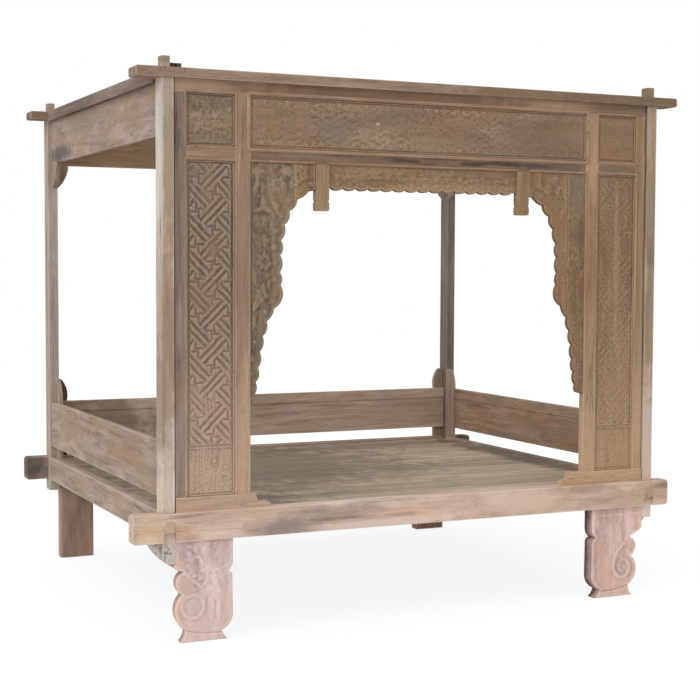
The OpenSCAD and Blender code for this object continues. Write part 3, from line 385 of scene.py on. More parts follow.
def tall_panel(side):
    """Column panel: key fret above, a moulded band, and a field of leaves below."""
    left = side < 0
    u, z, bead_h, d = panel_net(COLUMN_U, COLUMN_Z, 1.66, 1.66)
    z0 = COLUMN_Z[0] + FIELD_H
    cu, cz = FRET_AT[side]
    top = soften(soften(fret(u, z, cu + FRET_DRIFT * (z - 1250), cz), 1), 2) * FRET_RISE[side]
    top *= 1 - 0.22 * rough(u, z, 13, 3, 3) - 0.15 * rough(u, z, 60, 8)
    top = worn(top, u, z, 21 + side, 0.45 if left else 0.65)
    top *= (step(u - COLUMN_U[0] + 2 * rough(u, z, 26, 7), 11, 15)
            * step(COLUMN_U[1] - u + 2 * rough(u, z, 26, 8), 13, 18))
    top += (0.25 if left else 0.5) * rough(u, z, 4, 9, 2)
    for pu, pz, half_u, half_z, lost in RUBBED[side]:
        far = np.hypot((u - pu) / half_u, (z - pz) / half_z) + 0.35 * rough(u, z, 22, 6, 2)
        top *= 1 - lost * step(far, 1.1, 0.5)
    field_z = (COLUMN_Z[0] + BEAD_W, z0)
    low = foliage(u, z, inside_of(COLUMN_U, 8), field_z, 5 + side, 17.0) * 1.7
    low = np.maximum(low, 1.6 * foliage(u, z, inside_of(COLUMN_U, 14), field_z, 2 + side, 29.0))
    low = worn(low * (1.0 if left else 0.4), u, z, 12, 0.6) + 0.45 * rough(u, z, 7, 33, 2)
    strip = z - z0
    ticks = 0.8 * np.sin(u * 2 * np.pi / 9.0) * (np.abs(strip - 9.5) < 5)
    bands = 2.4 * band(strip - 2.5, 3.0) + 2.4 * band(strip - 16.5, 3.0) + ticks + 0.6
    carving = np.where(strip > 19, top, np.where(strip > 0, np.minimum(bands, 4.8), low))
    ground = 0.22 * rough(u, z, 5, 4, 2) * (d > BEAD_W)
    h = np.maximum(carving * step(d, BEAD_W + 3.0, BEAD_W + 6.5) + ground, bead_h)
    return sunk_panel("fret_panel_" + WORDS[side], side, u, z, d, h, COLUMN_U, COLUMN_Z, reach=4)


def square_panel(side):
    """Small panel over a column: curled leaves out of an oval."""
    left = side < 0
    u, z, bead_h, d = panel_net(COLUMN_U, FRIEZE_Z, 1.5, 1.5)
    middle = (sum(COLUMN_U) / 2 - 12, sum(FRIEZE_Z) / 2 + 4)
    uw, zw = warped(u, z, 5.0, (30, 54), (34, 56), 2)
    h = 0.6 * foliage(uw, zw, inside_of(COLUMN_U, 12), inside_of(FRIEZE_Z, 12), 9, 33.0)
    ring = np.hypot((uw - sum(COLUMN_U) / 2 + 12) / 0.8, zw - sum(FRIEZE_Z) / 2 - 4)
    h = np.where(ring < 44, 0.35 * h, h)
    h = np.maximum(h, 0.8 * band(ring - 40, 6.0))
    h = leaves(h, uw, zw, 1, [(polar(middle, turn, 20), turn, length, width, 0.35) for turn, length, width in
                              ((95, 62, 34), (215, 60, 30), (-30, 66, 34), (20, 50, 26), (160, 50, 24))])
    h = soften(h * (2.6 if left else 0.9), 1)
    h = worn(h, u, z, 40 + side, 0.5 if left else 0.75)
    h += (0.4 if left else 0.15) * rough(u, z, 11, 14, 3)
    plate = 2.2 * step(d, BEAD_W + 3.0, BEAD_W + 6.0)
    h = np.maximum((h + plate) * (d > BEAD_W + 2), bead_h * 0.8)
    return sunk_panel("square_carving_" + WORDS[side], side, u, z, d, h, COLUMN_U, FRIEZE_Z)


def frieze():
    """Long panel over the arch: scrollwork in a plain sunk border."""
    x_range = (-HALF_W + ARCH_U, HALF_W - ARCH_U)
    x, z, bead_h, d = panel_net(x_range, FRIEZE_Z, 2.4, 2.2)
    h = scrollwork(x, z, *inside_of(FRIEZE_Z, 14), 214.0, 2) * 1.7
    h = np.maximum(h, 1.8 * foliage(x, z, inside_of(x_range, 12), inside_of(FRIEZE_Z, 10, 16), 8, 21.0))
    h = worn(h, x, z, 50, 0.6) * step(d, BEAD_W + 5, BEAD_W + 8) * (1 - 0.6 * step(x, 100, 550))
    h += 0.45 * rough(x, z, 9, 16, 3) * (d > BEAD_W)
    plate = 2.0 * step(d, BEAD_W + 2.5, BEAD_W + 5.0)
    h = np.maximum((h + plate) * (d > BEAD_W + 1), bead_h * 0.8)
    return sunk_panel("frieze_carving", 0, x, z, d, h, x_range, FRIEZE_Z)


def arc_points(p, q, bulge, n):
    """n points from p towards q, q left out, on an arc whose middle stands off the chord."""
    p, q = np.array(p, float), np.array(q, float)
    chord = np.linalg.norm(q - p)
    way = (q - p) / chord
    out = np.array([-way[1], way[0]])
    r = (chord * chord / 4 + bulge * bulge) / (2 * bulge)
    centre = (p + q) / 2 + out * (bulge - r)
    half = 2 * math.atan(2 * abs(bulge) / chord)
    a = -half + 2 * half * np.arange(n)[:, None] / n
    return centre + r * np.cos(a) * out + abs(r) * np.sin(a) * way


def arc_chain(points, arcs):
    """Arcs through points in turn, each with its bulge and number of points, and the last point."""
    parts = [arc_points(p, q, *arc) for p, q, arc in zip(points[:-1], points[1:], arcs)]
    return np.concatenate(parts + [[points[-1]]])


def near_line(x, z, line):
    """Distance from each point to a chain of straight pieces, in slices to spare memory."""
    best = np.full(x.shape, 1e9)
    p, way = line[:-1], line[1:] - line[:-1]
    length2 = np.maximum((way ** 2).sum(1), 1e-9)
    for start in range(0, len(p), 24):
        pk, wk, lk = (v[start:start + 24] for v in (p, way, length2))
        dx, dz = x[..., None] - pk[:, 0], z[..., None] - pk[:, 1]
        t = np.clip((dx * wk[:, 0] + dz * wk[:, 1]) / lk, 0, 1)
        best = np.minimum(best, np.sqrt((dx - t * wk[:, 0]) ** 2 + (dz - t * wk[:, 1]) ** 2).min(-1))
    return best


def even_chain(points, count):
    """Points at even steps along a chain."""
    way = np.concatenate([[0], np.cumsum(np.hypot(*np.diff(points, axis=0).T))])
    s = np.linspace(0, way[-1], count)
    return np.stack([np.interp(s, way, points[:, 0]), np.interp(s, way, points[:, 1])], axis=1)


# Notches of a spandrel's edge as shares of its width and length, and the share of LOBE by which
# the lobe after each bulges into the opening
CUSPS = [(1, 0.108, 0.1), (0.905, 0.112, 0.5), (0.725, 0.148, 0.9), (0.603, 0.195, 1), (0.527, 0.252, 1),
         (0.475, 0.317, 1), (0.464, 0.379, 1), (0.459, 0.449, 0.8), (0.47, 0.502, 1.1), (0.472, 0.577, 0.2),
         (0.386, 0.598, 0.6), (0.279, 0.651, 1), (0.225, 0.712, 1), (0.189, 0.776, 1), (0.171, 0.842, 1),
         (0.146, 0.901, 0.9), (0.121, 0.957, 0.4), (0.112, 0.992, 0.1), (0, 1, 0)]
LOBE = 10.0
# A spandrel's rosettes: distance in from the stile and down from the top, radius, petals (3: a
# star of leaves); and its large leaves: the same two distances, turn, length, width
ROSETTES = ((108, 80, 34, 8), (50, 168, 36, 3), (40, 224, 27, 10), (60, 374, 44, 8), (46, 300, 26, 6),
            (176, 70, 24, 6), (44, 500, 34, 5), (26, 600, 22, 6), (150, 32, 20, 5), (24, 40, 22, 6),
            (214, 60, 18, 6))
SPANDREL_LEAVES = ((12, 560, 62, 120, 30), (46, 640, 70, 90, 24), (20, 460, 100, 70, 26),
                   (92, 150, -60, 90, 30), (90, 300, -75, 90, 30), (18, 120, 75, 70, 24),
                   (74, 440, -70, 80, 26), (10, 700, 80, 90, 20), (8, 800, 85, 90, 16))
SPANDREL_W = 261.0      # width for which those distances hold


def scallops(side):
    """Scalloped edge of a spandrel, in u and z, from the pendant down to the stile, and its
    notches; the tail draws back by the lean."""
    pts = [(ARCH_U + max(0.0, a * (PENDANT_U[side] - ARCH_U) - TAIL_LEAN[side] * max(0.0, 2 * b - 1)),
            COLUMN_Z[1] - b * SPANDREL_H) for a, b, _ in CUSPS]
    return arc_chain(pts, [(LOBE * share, 14) for _, _, share in CUSPS]), np.array(pts)


def edge_rim(d):
    """Raised rim along a scalloped edge: a rounded band 3 to 12 mm in, with a groove behind it."""
    return 1.1 * band(d - 6.5, 6.5) - 0.5 * band(d - 15.0, 3.0)


def spandrel_carving(u, z, edge, cusps, side):
    """Leaves and rosettes of a spandrel, with a petal in each scallop."""
    top = COLUMN_Z[1]
    d = near_line(u, z, edge)
    h = edge_rim(d)
    uw, zw = warped(u, z, 7.0, (34, 51), (38, 57), 3)
    for p, q in zip(cusps[:-1], cusps[1:]):
        way = q - p
        inward = math.degrees(math.atan2(way[0], -way[1])) + 180
        h = np.maximum(h, 1.3 * leaf(uw, zw, polar((p + q) / 2, inward, 14), inward, 30, 22) * step(d, 12, 18))
    field = foliage(uw, zw, inside_of((ARCH_U, PENDANT_U[side]), 4), (top - 720, top - 6), 17 + side, 40.0) * 1.3
    big = np.zeros(u.shape)
    blank = np.ones(u.shape)
    scale = (PENDANT_U[side] - ARCH_U) / SPANDREL_W
    for cu, cz, r, petals in ROSETTES:
        at = (ARCH_U + cu * scale, top - cz)
        r *= scale
        ring = np.hypot(uw - at[0], zw - at[1])
        blank = np.minimum(blank, step(ring, r * 0.98, r * 1.08))
        if petals == 3:
            big = leaves(big, uw, zw, 4.2, [(at, a, r * 1.05, r * 0.7) for a in (90, 210, 330)])
        else:
            big = np.maximum(big, flower(uw, zw, at, r * 0.86, petals, 12 * petals) * 3.6)
            big = np.maximum(big, 1.8 * band(ring - r * 0.98, 3.4))
    big = leaves(big, uw, zw, 3.8, [((ARCH_U + cu * scale, top - cz), a, l, w, 0.12)
                                    for cu, cz, a, l, w in SPANDREL_LEAVES])
    within = step(d, 44, 52) * step(u - ARCH_U, 3, 8) * step(top - z, 3, 8)
    h = np.maximum(h, np.maximum(field * blank, big) * within)
    h = soften(worn(h * (1.5 if side < 0 else 0.8), uw, zw, 60 + side, 0.5), 2)
    return h + 0.6 * rough(uw, zw, 12, 18, 3) - edge_fall(d, 3.0, 4.0)


def spandrel_board(side, part):
    """One board of a spandrel. Rows run from the seam or stile to the scalloped edge: both ends
    of a row move down together, by the share of the edge's way down."""
    inner = part == "inner"
    edge, cusps = scallops(side)
    pendant_u, seam, top = PENDANT_U[side], SEAM_U[side], COLUMN_Z[1] + GROOVE
    k = np.argmax(edge[:, 0] <= seam)
    before, after = edge[k - 1], edge[k]
    at_seam = before + (before[0] - seam) / (before[0] - after[0]) * (after - before)
    if inner:
        out = np.concatenate([[[pendant_u + GROOVE, top], [pendant_u + GROOVE, edge[0, 1]]], edge[:k], [at_seam]])
    else:
        out = np.concatenate([[[seam, top], at_seam], edge[k:]])
    base = seam if inner else ARCH_U - GROOVE
    out = even_chain(out, 150 if inner and side < 0 else 420)
    drop = np.concatenate([[0], np.cumsum(np.abs(np.diff(out[:, 1])) + 0.25 * np.abs(np.diff(out[:, 0])))])
    base_z = (top - (top - out[-1, 1]) * drop / drop[-1])[:, None]
    t = np.linspace(0, 1, 84)[None, :]
    u = base + (out[:, 0:1] - base) * t
    z = base_z + (out[:, 1:2] - base_z) * t
    h = spandrel_carving(u, z, edge, cusps, side) - 2.2 * (1 - step(np.abs(u - seam), 0.0, 2.0))
    inside = (u > ARCH_U + 0.1) & (u < pendant_u - 0.1) & (z < COLUMN_Z[1] - 0.1)
    h = np.where(inside, np.maximum(h, -3.0), 0.0)
    # Painted shade along the scalloped edge.
    painted_shade = 0.9 * (1 - step(near_line(u, z, edge), 1, 6)) * (u > ARCH_U)
    return carved_board("arch_%s_%s" % (part, WORDS[side]), mirrored(u, side), z, h, ARCH_FACE, ARCH_BACK,
                        painted_shade=painted_shade)


def valance():
    """Scalloped board between the pendants: sprigs of flowers over a petalled edge."""
    x0, x1 = ARCH_X
    z0, top = COLUMN_Z[1] - VALANCE_H, COLUMN_Z[1] + GROOVE
    e0, e1 = x0 + 11, x1 - 21
    pitch = (e1 - e0) / VALANCE_BAYS
    edge = arc_chain([(e0 + pitch * k, z0) for k in range(VALANCE_BAYS + 1)], [(-LOBE, 24)] * VALANCE_BAYS)
    out = np.concatenate([[(x0 - GROOVE, z0), (x0 - EDGE_GAP, z0)], edge, [(x1 + EDGE_GAP, z0), (x1 + GROOVE, z0)]])
    t = np.linspace(0, 1, 56)[None, :]
    x = np.repeat(out[:, 0:1], t.shape[1], axis=1)
    z = out[:, 1:2] + (top - out[:, 1:2]) * t
    d = near_line(x, z, edge)
    h = edge_rim(d)
    xw, zw = warped(x, z, 4.0, (30, 53), (32, 59), 3)
    for k in range(VALANCE_BAYS):
        cx = e0 + (k + 0.5) * pitch
        h = np.maximum(h, 2.4 * leaf(xw, zw, (cx, z0 + 4), 90, 24, 20) * step(d, 12, 17))
        if k % 2:
            middle = (cx, z0 + 54)
            h = np.maximum(h, 3.4 * flower(xw, zw, middle, 19, 6, 30 * k))
            h = leaves(h, xw, zw, 2.6, [(polar(middle, a, 15), a, 24, 11, 0.3)
                                        for a in (25, 155, -25, 205, 60, 120)])
        else:
            h = leaves(h, xw, zw, 2.4, [((cx, z0 + 34), a, 34, 12) for a in (60, 120, 90)])
    h = soften(worn(0.6 * h, x, z, 70, 0.5), 1)
    h += 0.5 * rough(x, z, 11, 19, 3)
    h -= edge_fall(d, 3.0, 4.0)
    inside = (x > x0 + 0.1) & (x < x1 - 0.1) & (z < COLUMN_Z[1] - 0.1)
    # Painted shade along the scalloped edge.
    return carved_board("valance_carving", x, z, np.where(inside, h, 0.0), ARCH_FACE, ARCH_BACK,
                        painted_shade=0.7 * (1 - step(d, 1, 5)))


def leg_edges(side):
    """Outboard and inboard edges of a front leg: u from its shoulder, z from the rail's underside."""
    w, h, neck = LEG_W, LEG_H, NECK[side]
    waist = neck - 0.393 * (0.876 * h + neck)
    outer = arc_chain([(-EAR, 0), (0, neck), (-0.035 * w, waist), (0.025 * w, -0.876 * h), (-0.07 * w, -h)],
                      [(-15, 30), (-0.14 * w, 40), (-0.17 * w, 46), (0.03 * w, 10)])
    upper = arc_chain([(w, -0.223 * h), (0.895 * w, -0.33 * h), (0.99 * w, -0.375 * h)],
                      [(0.03 * w, 16), (0.02 * w, 10)])
    lower = arc_chain([(w, -0.733 * h), (0.775 * w, -0.909 * h), (0.9 * w, -h)],
                      [(0.07 * w, 20), (-0.02 * w, 6)])
    return outer, np.concatenate([[(w, 0)], upper, lower])


def curl_line(curl):
    """Middle line of the right leg's scroll: a stem from the upper curl, a quadratic curve, then a
    spiral whose radius falls evenly through a turn and a fifth, drawn out by 1.15 upright."""
    t = np.linspace(0, 1, 24)[:, None]
    start, bend, end = np.array((7.0, 100.0)), np.array((-50.0, 62.0)), np.array((-47.0, 0.0))
    stem = (1 - t) ** 2 * start + 2 * t * (1 - t) * bend + t ** 2 * end
    turn = np.radians(np.linspace(180, 610, 90))
    r = np.linspace(46, 15, 90)
    spiral = np.stack([r * np.cos(turn), 1.15 * r * np.sin(turn)], 1)
    line = np.concatenate([stem, spiral[1:]])
    return np.stack([curl[0] - line[:, 0], curl[1] + line[:, 1]], 1)


# Leaves of the left leg: place as shares of its width and height, turn, length, width, curl
LEG_LEAVES = ((0.10, -0.10, -75, 60, 26, 0.2), (0.48, -0.05, -105, 64, 30, 0.2), (0.70, -0.07, -70, 76, 28, -0.2),
              (0.90, -0.12, -110, 70, 24, 0.3), (0.60, -0.30, -84, 100, 26, 0.2), (0.52, -0.58, -75, 96, 30, -0.2),
              (0.72, -0.62, -100, 80, 24, 0.2))


def leg_carving(p, z, d, side):
    """Scrolls of a front leg, p from its shoulder: a ringed disc in the left leg's big outboard
    curl and a spiral in the right one's, a plain disc above it, ribs that follow the inner edge,
    and a curved moulding over the foot; on the left also a band from the neck to the middle, a
    hollow drop beside it and leaves."""
    w, h, left = LEG_W, LEG_H, side < 0
    share = np.clip(p / w, 0, 1)
    belly = h * (-0.876 - 0.033 * share - 0.13 * share * (1 - share))
    out = 1.4 * band(d - 6.0, 7.0)
    curl = (0.19 * w, (-0.655 if left else -0.675) * h)
    if left:
        r = np.hypot(p - curl[0], z - curl[1])
        out = np.maximum(out, 2.0 * band(r - 0.22 * w, 7.5))
        out = np.maximum(out, 1.7 * band(r, 0.155 * w))
    else:
        out = np.maximum(out, 2.6 * band(near_line(p, z, curl_line(curl)), 8.5))
    r = np.hypot(p - (0.03 if left else -0.015) * w, z + 0.43 * h)
    out = np.maximum(out, 2.2 * band(r, (0.165 if left else 0.10) * w))
    reach = step(z, -0.86 * h, -0.72 * h) * step(-z, 0.28 * h, 0.40 * h)
    for k in range(4 if left else 1):
        rib = (1.5 - 0.2 * k) * band(d - (14 + 9.5 * k if left else 38), 3.6)
        out = np.maximum(out, rib * reach * step(p, 0.40 * w, 0.52 * w))
    if left:
        q0, q1 = np.array((-0.02 * w, NECK[side] + 4)), np.array((0.42 * w, -0.50 * h))
        length = np.linalg.norm(q1 - q0)
        way = (q1 - q0) / length
        along = (p - q0[0]) * way[0] + (z - q0[1]) * way[1]
        across = -(p - q0[0]) * way[1] + (z - q0[1]) * way[0]
        out = np.maximum(out, 2.8 * band(across, 7.0) * (step(along, 0, 8) * step(length - along, 0, 14)))
        out = leaves(out, p, z, 2.6, [((a * w, b * h), *shape) for a, b, *shape in LEG_LEAVES])
        worked = step(z, -0.62 * h, -0.40 * h) * step(p, 0.02 * w, 0.10 * w)
        out = np.maximum(out, 2.2 * foliage(p, z, (0.0, w), (-0.55 * h, -4.0), 31, 36.0) * worked)
        drop = -1.7 * band(np.hypot((p - 0.265 * w) / 0.5, z + 0.26 * h), 32)
        out = np.where(drop < 0, drop, out)
    else:
        out = np.maximum(out, 1.4 * band(z + 0.085 * h, 7.0))
    out = soften(out, 2)
    out = np.where(z < belly, 0.8, out * step(z - belly, 0, 5))
    out -= 2.4 * np.exp(-((z - belly) / 3.0) ** 2)
    return out * step(-z, 4.0, 12.0)


def front_leg(side):
    """Front leg: a carved plank beside the post's foot. Rows lie level; both ends of a row follow
    the leg's edges at that height, and the wall of the scrolled edge leans back on the left."""
    inset, neck = LEG_INSET[side], NECK[side]
    outer, inner = leg_edges(side)
    lap = LEG_LAP - inset
    rows = np.unique(np.concatenate([np.linspace(0, -LEG_H, 236), outer[:, 1], inner[:, 1]]))[::-1]
    rows = rows[np.concatenate([[True], np.diff(rows) < -0.35])]
    rows[-1] = -LEG_H
    left = np.interp(-rows, -outer[:, 1], outer[:, 0])
    left = np.where(rows > neck, np.maximum(left, lap), left)
    right = np.interp(-rows, -inner[:, 1], inner[:, 0])
    t = np.linspace(0, 1, 120)[None, :]
    p = left[:, None] + (right - left)[:, None] * t
    z = np.repeat(rows[:, None], t.shape[1], axis=1)
    free = left > lap + 0.01 if side < 0 else rows < neck + 20
    edge = np.concatenate([np.stack([left, rows], 1)[free], np.stack([right, rows], 1)[::-1]])
    d = near_line(p, z, even_chain(edge, 420))
    h = worn(leg_carving(p, z, d, side), p, z, 80 + side, 0.3)
    h += 0.4 * rough(p, z, 14, 24, 3)
    h -= edge_fall(d, 5.0, 7.0) * step(-z, 2, 10)
    lean = LEG_WALL_LEAN * step(-rows, -neck, -neck + 6) if side < 0 else 0.0
    return carved_board("leg_carving_" + WORDS[side], mirrored(inset + p, side), z + RAIL_BASE, h, LEG_FACE,
                        FRONT + LEG_T, back_in=lean)


def leg_ear(side, reach):
    """Ear of a front leg: the thin board behind the post's foot, out to its reach past the post."""
    inset = LEG_INSET[side]
    outer = leg_edges(side)[0]
    keep = outer[outer[:, 1] >= NECK[side] - 0.01]
    u_edge = inset + keep[:, 0]
    us = np.linspace(max(-reach, u_edge.min()), min(LEG_LAP, inset), 40)
    low = np.interp(us, u_edge, keep[:, 1])[:, None]
    t = np.linspace(0, 1, 24)[None, :]
    u = np.repeat(us[:, None], t.shape[1], axis=1)
    z = low * (1 - t)
    h = 1.2 * rough(u, z, 14, 29, 2) - 4.0 * (1 - band(np.clip(6 - np.abs(z - low), 0, 6), 6.01))
    return carved_board("leg_ear_" + WORDS[side], mirrored(u, side), z + RAIL_BASE, h, EAR_FACE, FRONT + LEG_T)


def bead(name, path, width, height, seat, seed, closed=False):
    """Half-round moulding along a path of points in X and Z on the plane y = seat. Each ring is
    the half circle across the path; at a corner it is mitred, and its height wavers with wear."""
    path = np.asarray(path + path[:1] if closed else path, float)
    pts = [path[:1]]
    for p, q in zip(path[:-1], path[1:]):
        n = max(1, int(np.hypot(*(q - p)) / 14))
        pts.append(p + (q - p) * np.arange(1, n + 1)[:, None] / n)
    pts = np.concatenate(pts)[:-1 if closed else None]
    after = np.roll(pts, -1, axis=0) - pts
    before = pts - np.roll(pts, 1, axis=0)
    if not closed:
        after[-1] = before[-1]
        before[0] = after[0]

    def normal(way):
        way = way / np.linalg.norm(way, axis=1, keepdims=True)
        return np.stack([-way[:, 1], way[:, 0]], 1)

    na, nb = normal(before), normal(after)
    across = (na + nb) / (1 + (na * nb).sum(1, keepdims=True))
    angle = np.linspace(0, np.pi, 8)
    ring = np.concatenate([[[width / 2, -0.4]], np.stack([width / 2 * np.cos(angle), height * np.sin(angle)], 1),
                           [[-width / 2, -0.4]]])
    wear = 1 - 0.22 * np.abs(rough(pts[:, 0], pts[:, 1], 37, seed, 2))
    plane = pts[:, None] + across[:, None] * ring[None, :, 0:1]
    out = np.where(ring[:, 1] > 0, ring[:, 1] * wear[:, None], ring[:, 1])
    points = np.stack([plane[..., 0], seat - out, plane[..., 1]], axis=-1).reshape(-1, 3)
    n, k = len(pts), len(ring)
    i, j = np.arange(n if closed else n - 1)[:, None], np.arange(k)
    here, there, turned_j = i * k, (i + 1) % n * k, (j + 1) % k
    quads = np.stack([here + j, here + turned_j, there + turned_j, there + j], axis=-1).reshape(-1, 4)
    return new_piece(name, points, quads, [] if closed else [j[::-1], (n - 1) * k + j])


# Wood materials

def srgb(r, g, b):
    """Linear colour of an 8-bit screen colour."""
    return tuple(((c / 255 + 0.055) / 1.055) ** 2.4 if c > 10 else c / 255 / 12.92 for c in (r, g, b)) + (1.0,)


def toned(colour, shares, more=0):
    """8-bit colour times a share, or one share for each channel, and a little more."""
    return [min(255, int(c * k + more)) for c, k in zip(colour, np.broadcast_to(shares, 3))]


class Bench:
    """Short ways to add shader nodes to a material or a world."""

    def __init__(self, owner):
        owner.use_nodes = True
        self.tree = owner.node_tree
        self.tree.nodes.clear()

    def add(self, kind, inputs=(), **settings):
        """A node; the inputs are a list in its own order or a dictionary of names or numbers."""
        node = self.tree.nodes.new("ShaderNode" + kind)
        for key, value in settings.items():
            setattr(node, key, value)
        for key, value in inputs.items() if isinstance(inputs, dict) else enumerate(inputs):
            if isinstance(value, bpy.types.NodeSocket):
                self.tree.links.new(value, node.inputs[key])
            else:
                node.inputs[key].default_value = value
        return node

    def wire(self, kind, inputs=(), out=0, **settings):
        return self.add(kind, inputs, **settings).outputs[out]

    def math(self, op, *values, **settings):
        return self.wire("Math", values, operation=op, **settings)

    def mul(self, a, b):
        return self.math("MULTIPLY", a, b)

    def plus(self, a, b):
        return self.math("ADD", a, b)

    def less(self, a, b):
        return self.math("SUBTRACT", a, b)

    def vector(self, op, a, b, out=0):
        return self.wire("VectorMath", {0: a, "Scale" if op == "SCALE" else 1: b}, out, operation=op)

    def noise(self, place, scale=1.0, detail=3.0, rough=0.55, distortion=0.0):
        return self.wire("TexNoise", {"Vector": place, "Scale": scale, "Detail": detail, "Roughness": rough,
                                      "Distortion": distortion})

    def span(self, value, low, high, to_low=0.0, to_high=1.0):
        return self.wire("MapRange", [value, low, high, to_low, to_high], interpolation_type="SMOOTHSTEP")

    def blend(self, share, a, b, kind="MIX"):
        return self.wire("Mix", {0: share, 6: a, 7: b}, 2, data_type="RGBA", blend_type=kind)

    def seen(self):
        """1 for rays from the camera, also through glass and mirrors."""
        path = self.add("LightPath").outputs
        direct = self.math("MAXIMUM", path["Is Camera Ray"], path["Is Transmission Ray"])
        return self.math("MAXIMUM", direct, path["Is Glossy Ray"])


AXES = {"x": (0, 1, 2), "y": (1, 0, 2), "z": (2, 1, 0)}
# Soft patches of other tones: where their noise is taken, shares of the tone
PATCHES = (((5.2, 3.3, 9.1), (0.82, 0.84, 0.90)), ((1.7, 6.4, 2.2), (1.03, 0.96, 0.90)),
           ((9.4, 1.2, 5.5), (0.95, 0.95, 0.88)), ((4.1, 8.7, 3.6), (1.10, 1.12, 1.16)))
BOARD_TINTS = ((0.84, 1.12), (0.85, 1.10), (0.84, 1.08))


def wood(name, box, grain, paints, seed, streaks=1.0, weather=0.35, carved=None, low_pale=0.0, boards=None,
         marks=(), arris=0.32, checks=0.5, mottle=0.3, low_tone=None, lines=1.0):
    """Old bare teak. Along the grain the pattern is stretched about 20 times; over the tone lie
    dark streaks, pale worn patches, grey weathering, open checks, pale arrises and dark marks, some
    of the marks painted shade and light; carved pieces get painted shade in their hollows and
    painted highlight on their crowns."""
    tone, dark, pale, grey = paints
    material = bpy.data.materials.new(name)
    b = Bench(material)
    place = b.wire("TexCoord", out="Object")
    axes = b.add("SeparateXYZ", [place]).outputs
    local = b.wire("CombineXYZ", [axes[k] for k in AXES[grain]])
    local = b.vector("ADD", local, (seed * 1.37, seed * 2.11, seed * 0.73))
    if boards:
        start, pitch = boards
        index = b.math("DIVIDE", b.less(axes["Y"], start), pitch)
        cell = b.add("TexWhiteNoise", {"W": b.math("FLOOR", index)}, noise_dimensions="1D").outputs
        local = b.vector("ADD", local, b.vector("SCALE", cell["Color"], 9.0))
        seam = b.span(b.math("ABSOLUTE", b.less(b.math("FRACT", index), 0.5)), 0.470, 0.492)

    def net(along, across, shift=None):
        """The place in the wood, stretched for a noise that runs with the grain."""
        stretched = b.vector("MULTIPLY", local, (along, across, across))
        return b.vector("ADD", stretched, shift) if shift else stretched

    def middle(value, share):
        """A noise less its mean, times a share."""
        return b.mul(b.less(value, 0.5), share)

    wide = b.noise(net(1.3, 6.0))
    broad = b.noise(net(1.0, 3.0, (7.3, 1.9, 4.4)), 1.6, 2.0, 0.5)
    bend = b.vector("SCALE", b.wire("CombineXYZ", [0.0, wide, broad]), 3.2)
    streak = b.noise(b.vector("ADD", net(2.0, 46.0), bend), 1.0, 5.0, 0.62, 0.25)
    fine = b.noise(net(9.0, 300.0), rough=0.6)
    pore = b.noise(net(30.0, 850.0), 1.0, 1.0, 0.5)
    rings = b.math("SINE", b.plus(b.mul(wide, 30.0), b.mul(b.wire("SeparateXYZ", [local], 1), 420.0)))
    colour = srgb(*tone)

    def lay(share, amount, paint):
        """Lays a paint over the colour, by a share times an amount."""
        nonlocal colour
        colour = b.blend(b.mul(share, amount), colour, srgb(*paint))

    lay(b.span(streak, 0.50, 0.74), 0.85 * streaks, dark)
    lay(b.span(streak, 0.47, 0.28), 0.8 * min(1.0, streaks + 0.15), pale)
    lay(b.span(wide, 0.52, 0.68), 0.6, pale)
    lay(b.span(broad, 0.50, 0.66), weather, grey)
    lay(b.span(rings, -0.2, 1.0), 0.10, dark)
    for shift, shares in PATCHES:
        lay(b.span(b.noise(net(3.4, 13.0, shift), 1.0, 4.0, 0.6), 0.50, 0.66), mottle, toned(tone, shares))
    if low_pale:
        height = b.plus(axes["Z"], b.mul(wide, 0.25))
        lay(b.span(height, 1.5, 0.45), low_pale, low_tone or toned(pale, 1.08, 6))
    if boards:
        tints = [b.span(cell["Value"], 0.0, 1.0, *limits) for limits in BOARD_TINTS]
        colour = b.blend(1.0, colour, b.wire("CombineColor", tints), "MULTIPLY")
        lay(seam, 0.6, toned(dark, 0.6))
    tint = b.span(fine, 0.30, 0.70, 1.0 - 0.10 * lines, 1.0 + 0.08 * lines)
    colour = b.blend(1.0, colour, b.wire("CombineColor", [tint] * 3), "MULTIPLY")
    pits = b.span(pore, 0.60, 0.72)
    lay(pits, 0.35, toned(dark, 0.55))

    gap = b.noise(net(0.9, 24.0, (3.1, 8.8, 2.4)), 1.0, 2.0, 0.5, 0.4)
    where = b.span(b.noise(net(1.4, 7.0), 1.0, 1.0), 0.50, 0.60)
    check = b.mul(b.span(b.math("ABSOLUTE", b.less(gap, 0.5)), 0.010, 0.002), where)
    check = b.mul(check, checks)
    lay(check, 0.75, toned(dark, 0.42))

    to_low, to_high = b.vector("SUBTRACT", place, tuple(box[0])), b.vector("SUBTRACT", tuple(box[1]), place)
    dx, dy, dz = b.add("SeparateXYZ", [b.vector("MINIMUM", to_low, to_high)]).outputs
    second = b.math("MAXIMUM", b.math("MINIMUM", dx, dy), b.math("MINIMUM", b.math("MAXIMUM", dx, dy), dz))
    lay(b.span(b.plus(second, middle(streak, 0.006)), 0.0055, 0.0008), arris, toned(pale, 1.12, 8))

    if carved:
        # Painted shade in the carving's hollows and painted highlight on its crowns; the specks and flecks below
        # are the wood's own.
        hollow, crown, specks = carved
        relief = b.wire("Attribute", out="Fac", attribute_name="relief")
        lay(b.span(b.plus(relief, middle(fine, 0.5)), -0.05, -1.0), hollow, toned(dark, 0.62))
        lay(b.span(b.plus(relief, middle(streak, 0.8)), 0.15, 1.1), crown, toned(pale, 1.05, 4))
        lay(b.span(b.noise(net(160.0, 160.0), 1.0, 2.0), 0.56, 0.66), specks, toned(dark, 0.7))
        fleck = b.span(b.noise(net(130.0, 130.0, (4.4, 7.1, 2.9)), 1.0, 2.0), 0.58, 0.70)
        fleck = b.math("MULTIPLY", fleck, 1.4 * specks, use_clamp=True)
        colour = b.blend(fleck, colour, srgb(*toned(pale, 1.06, 4)))

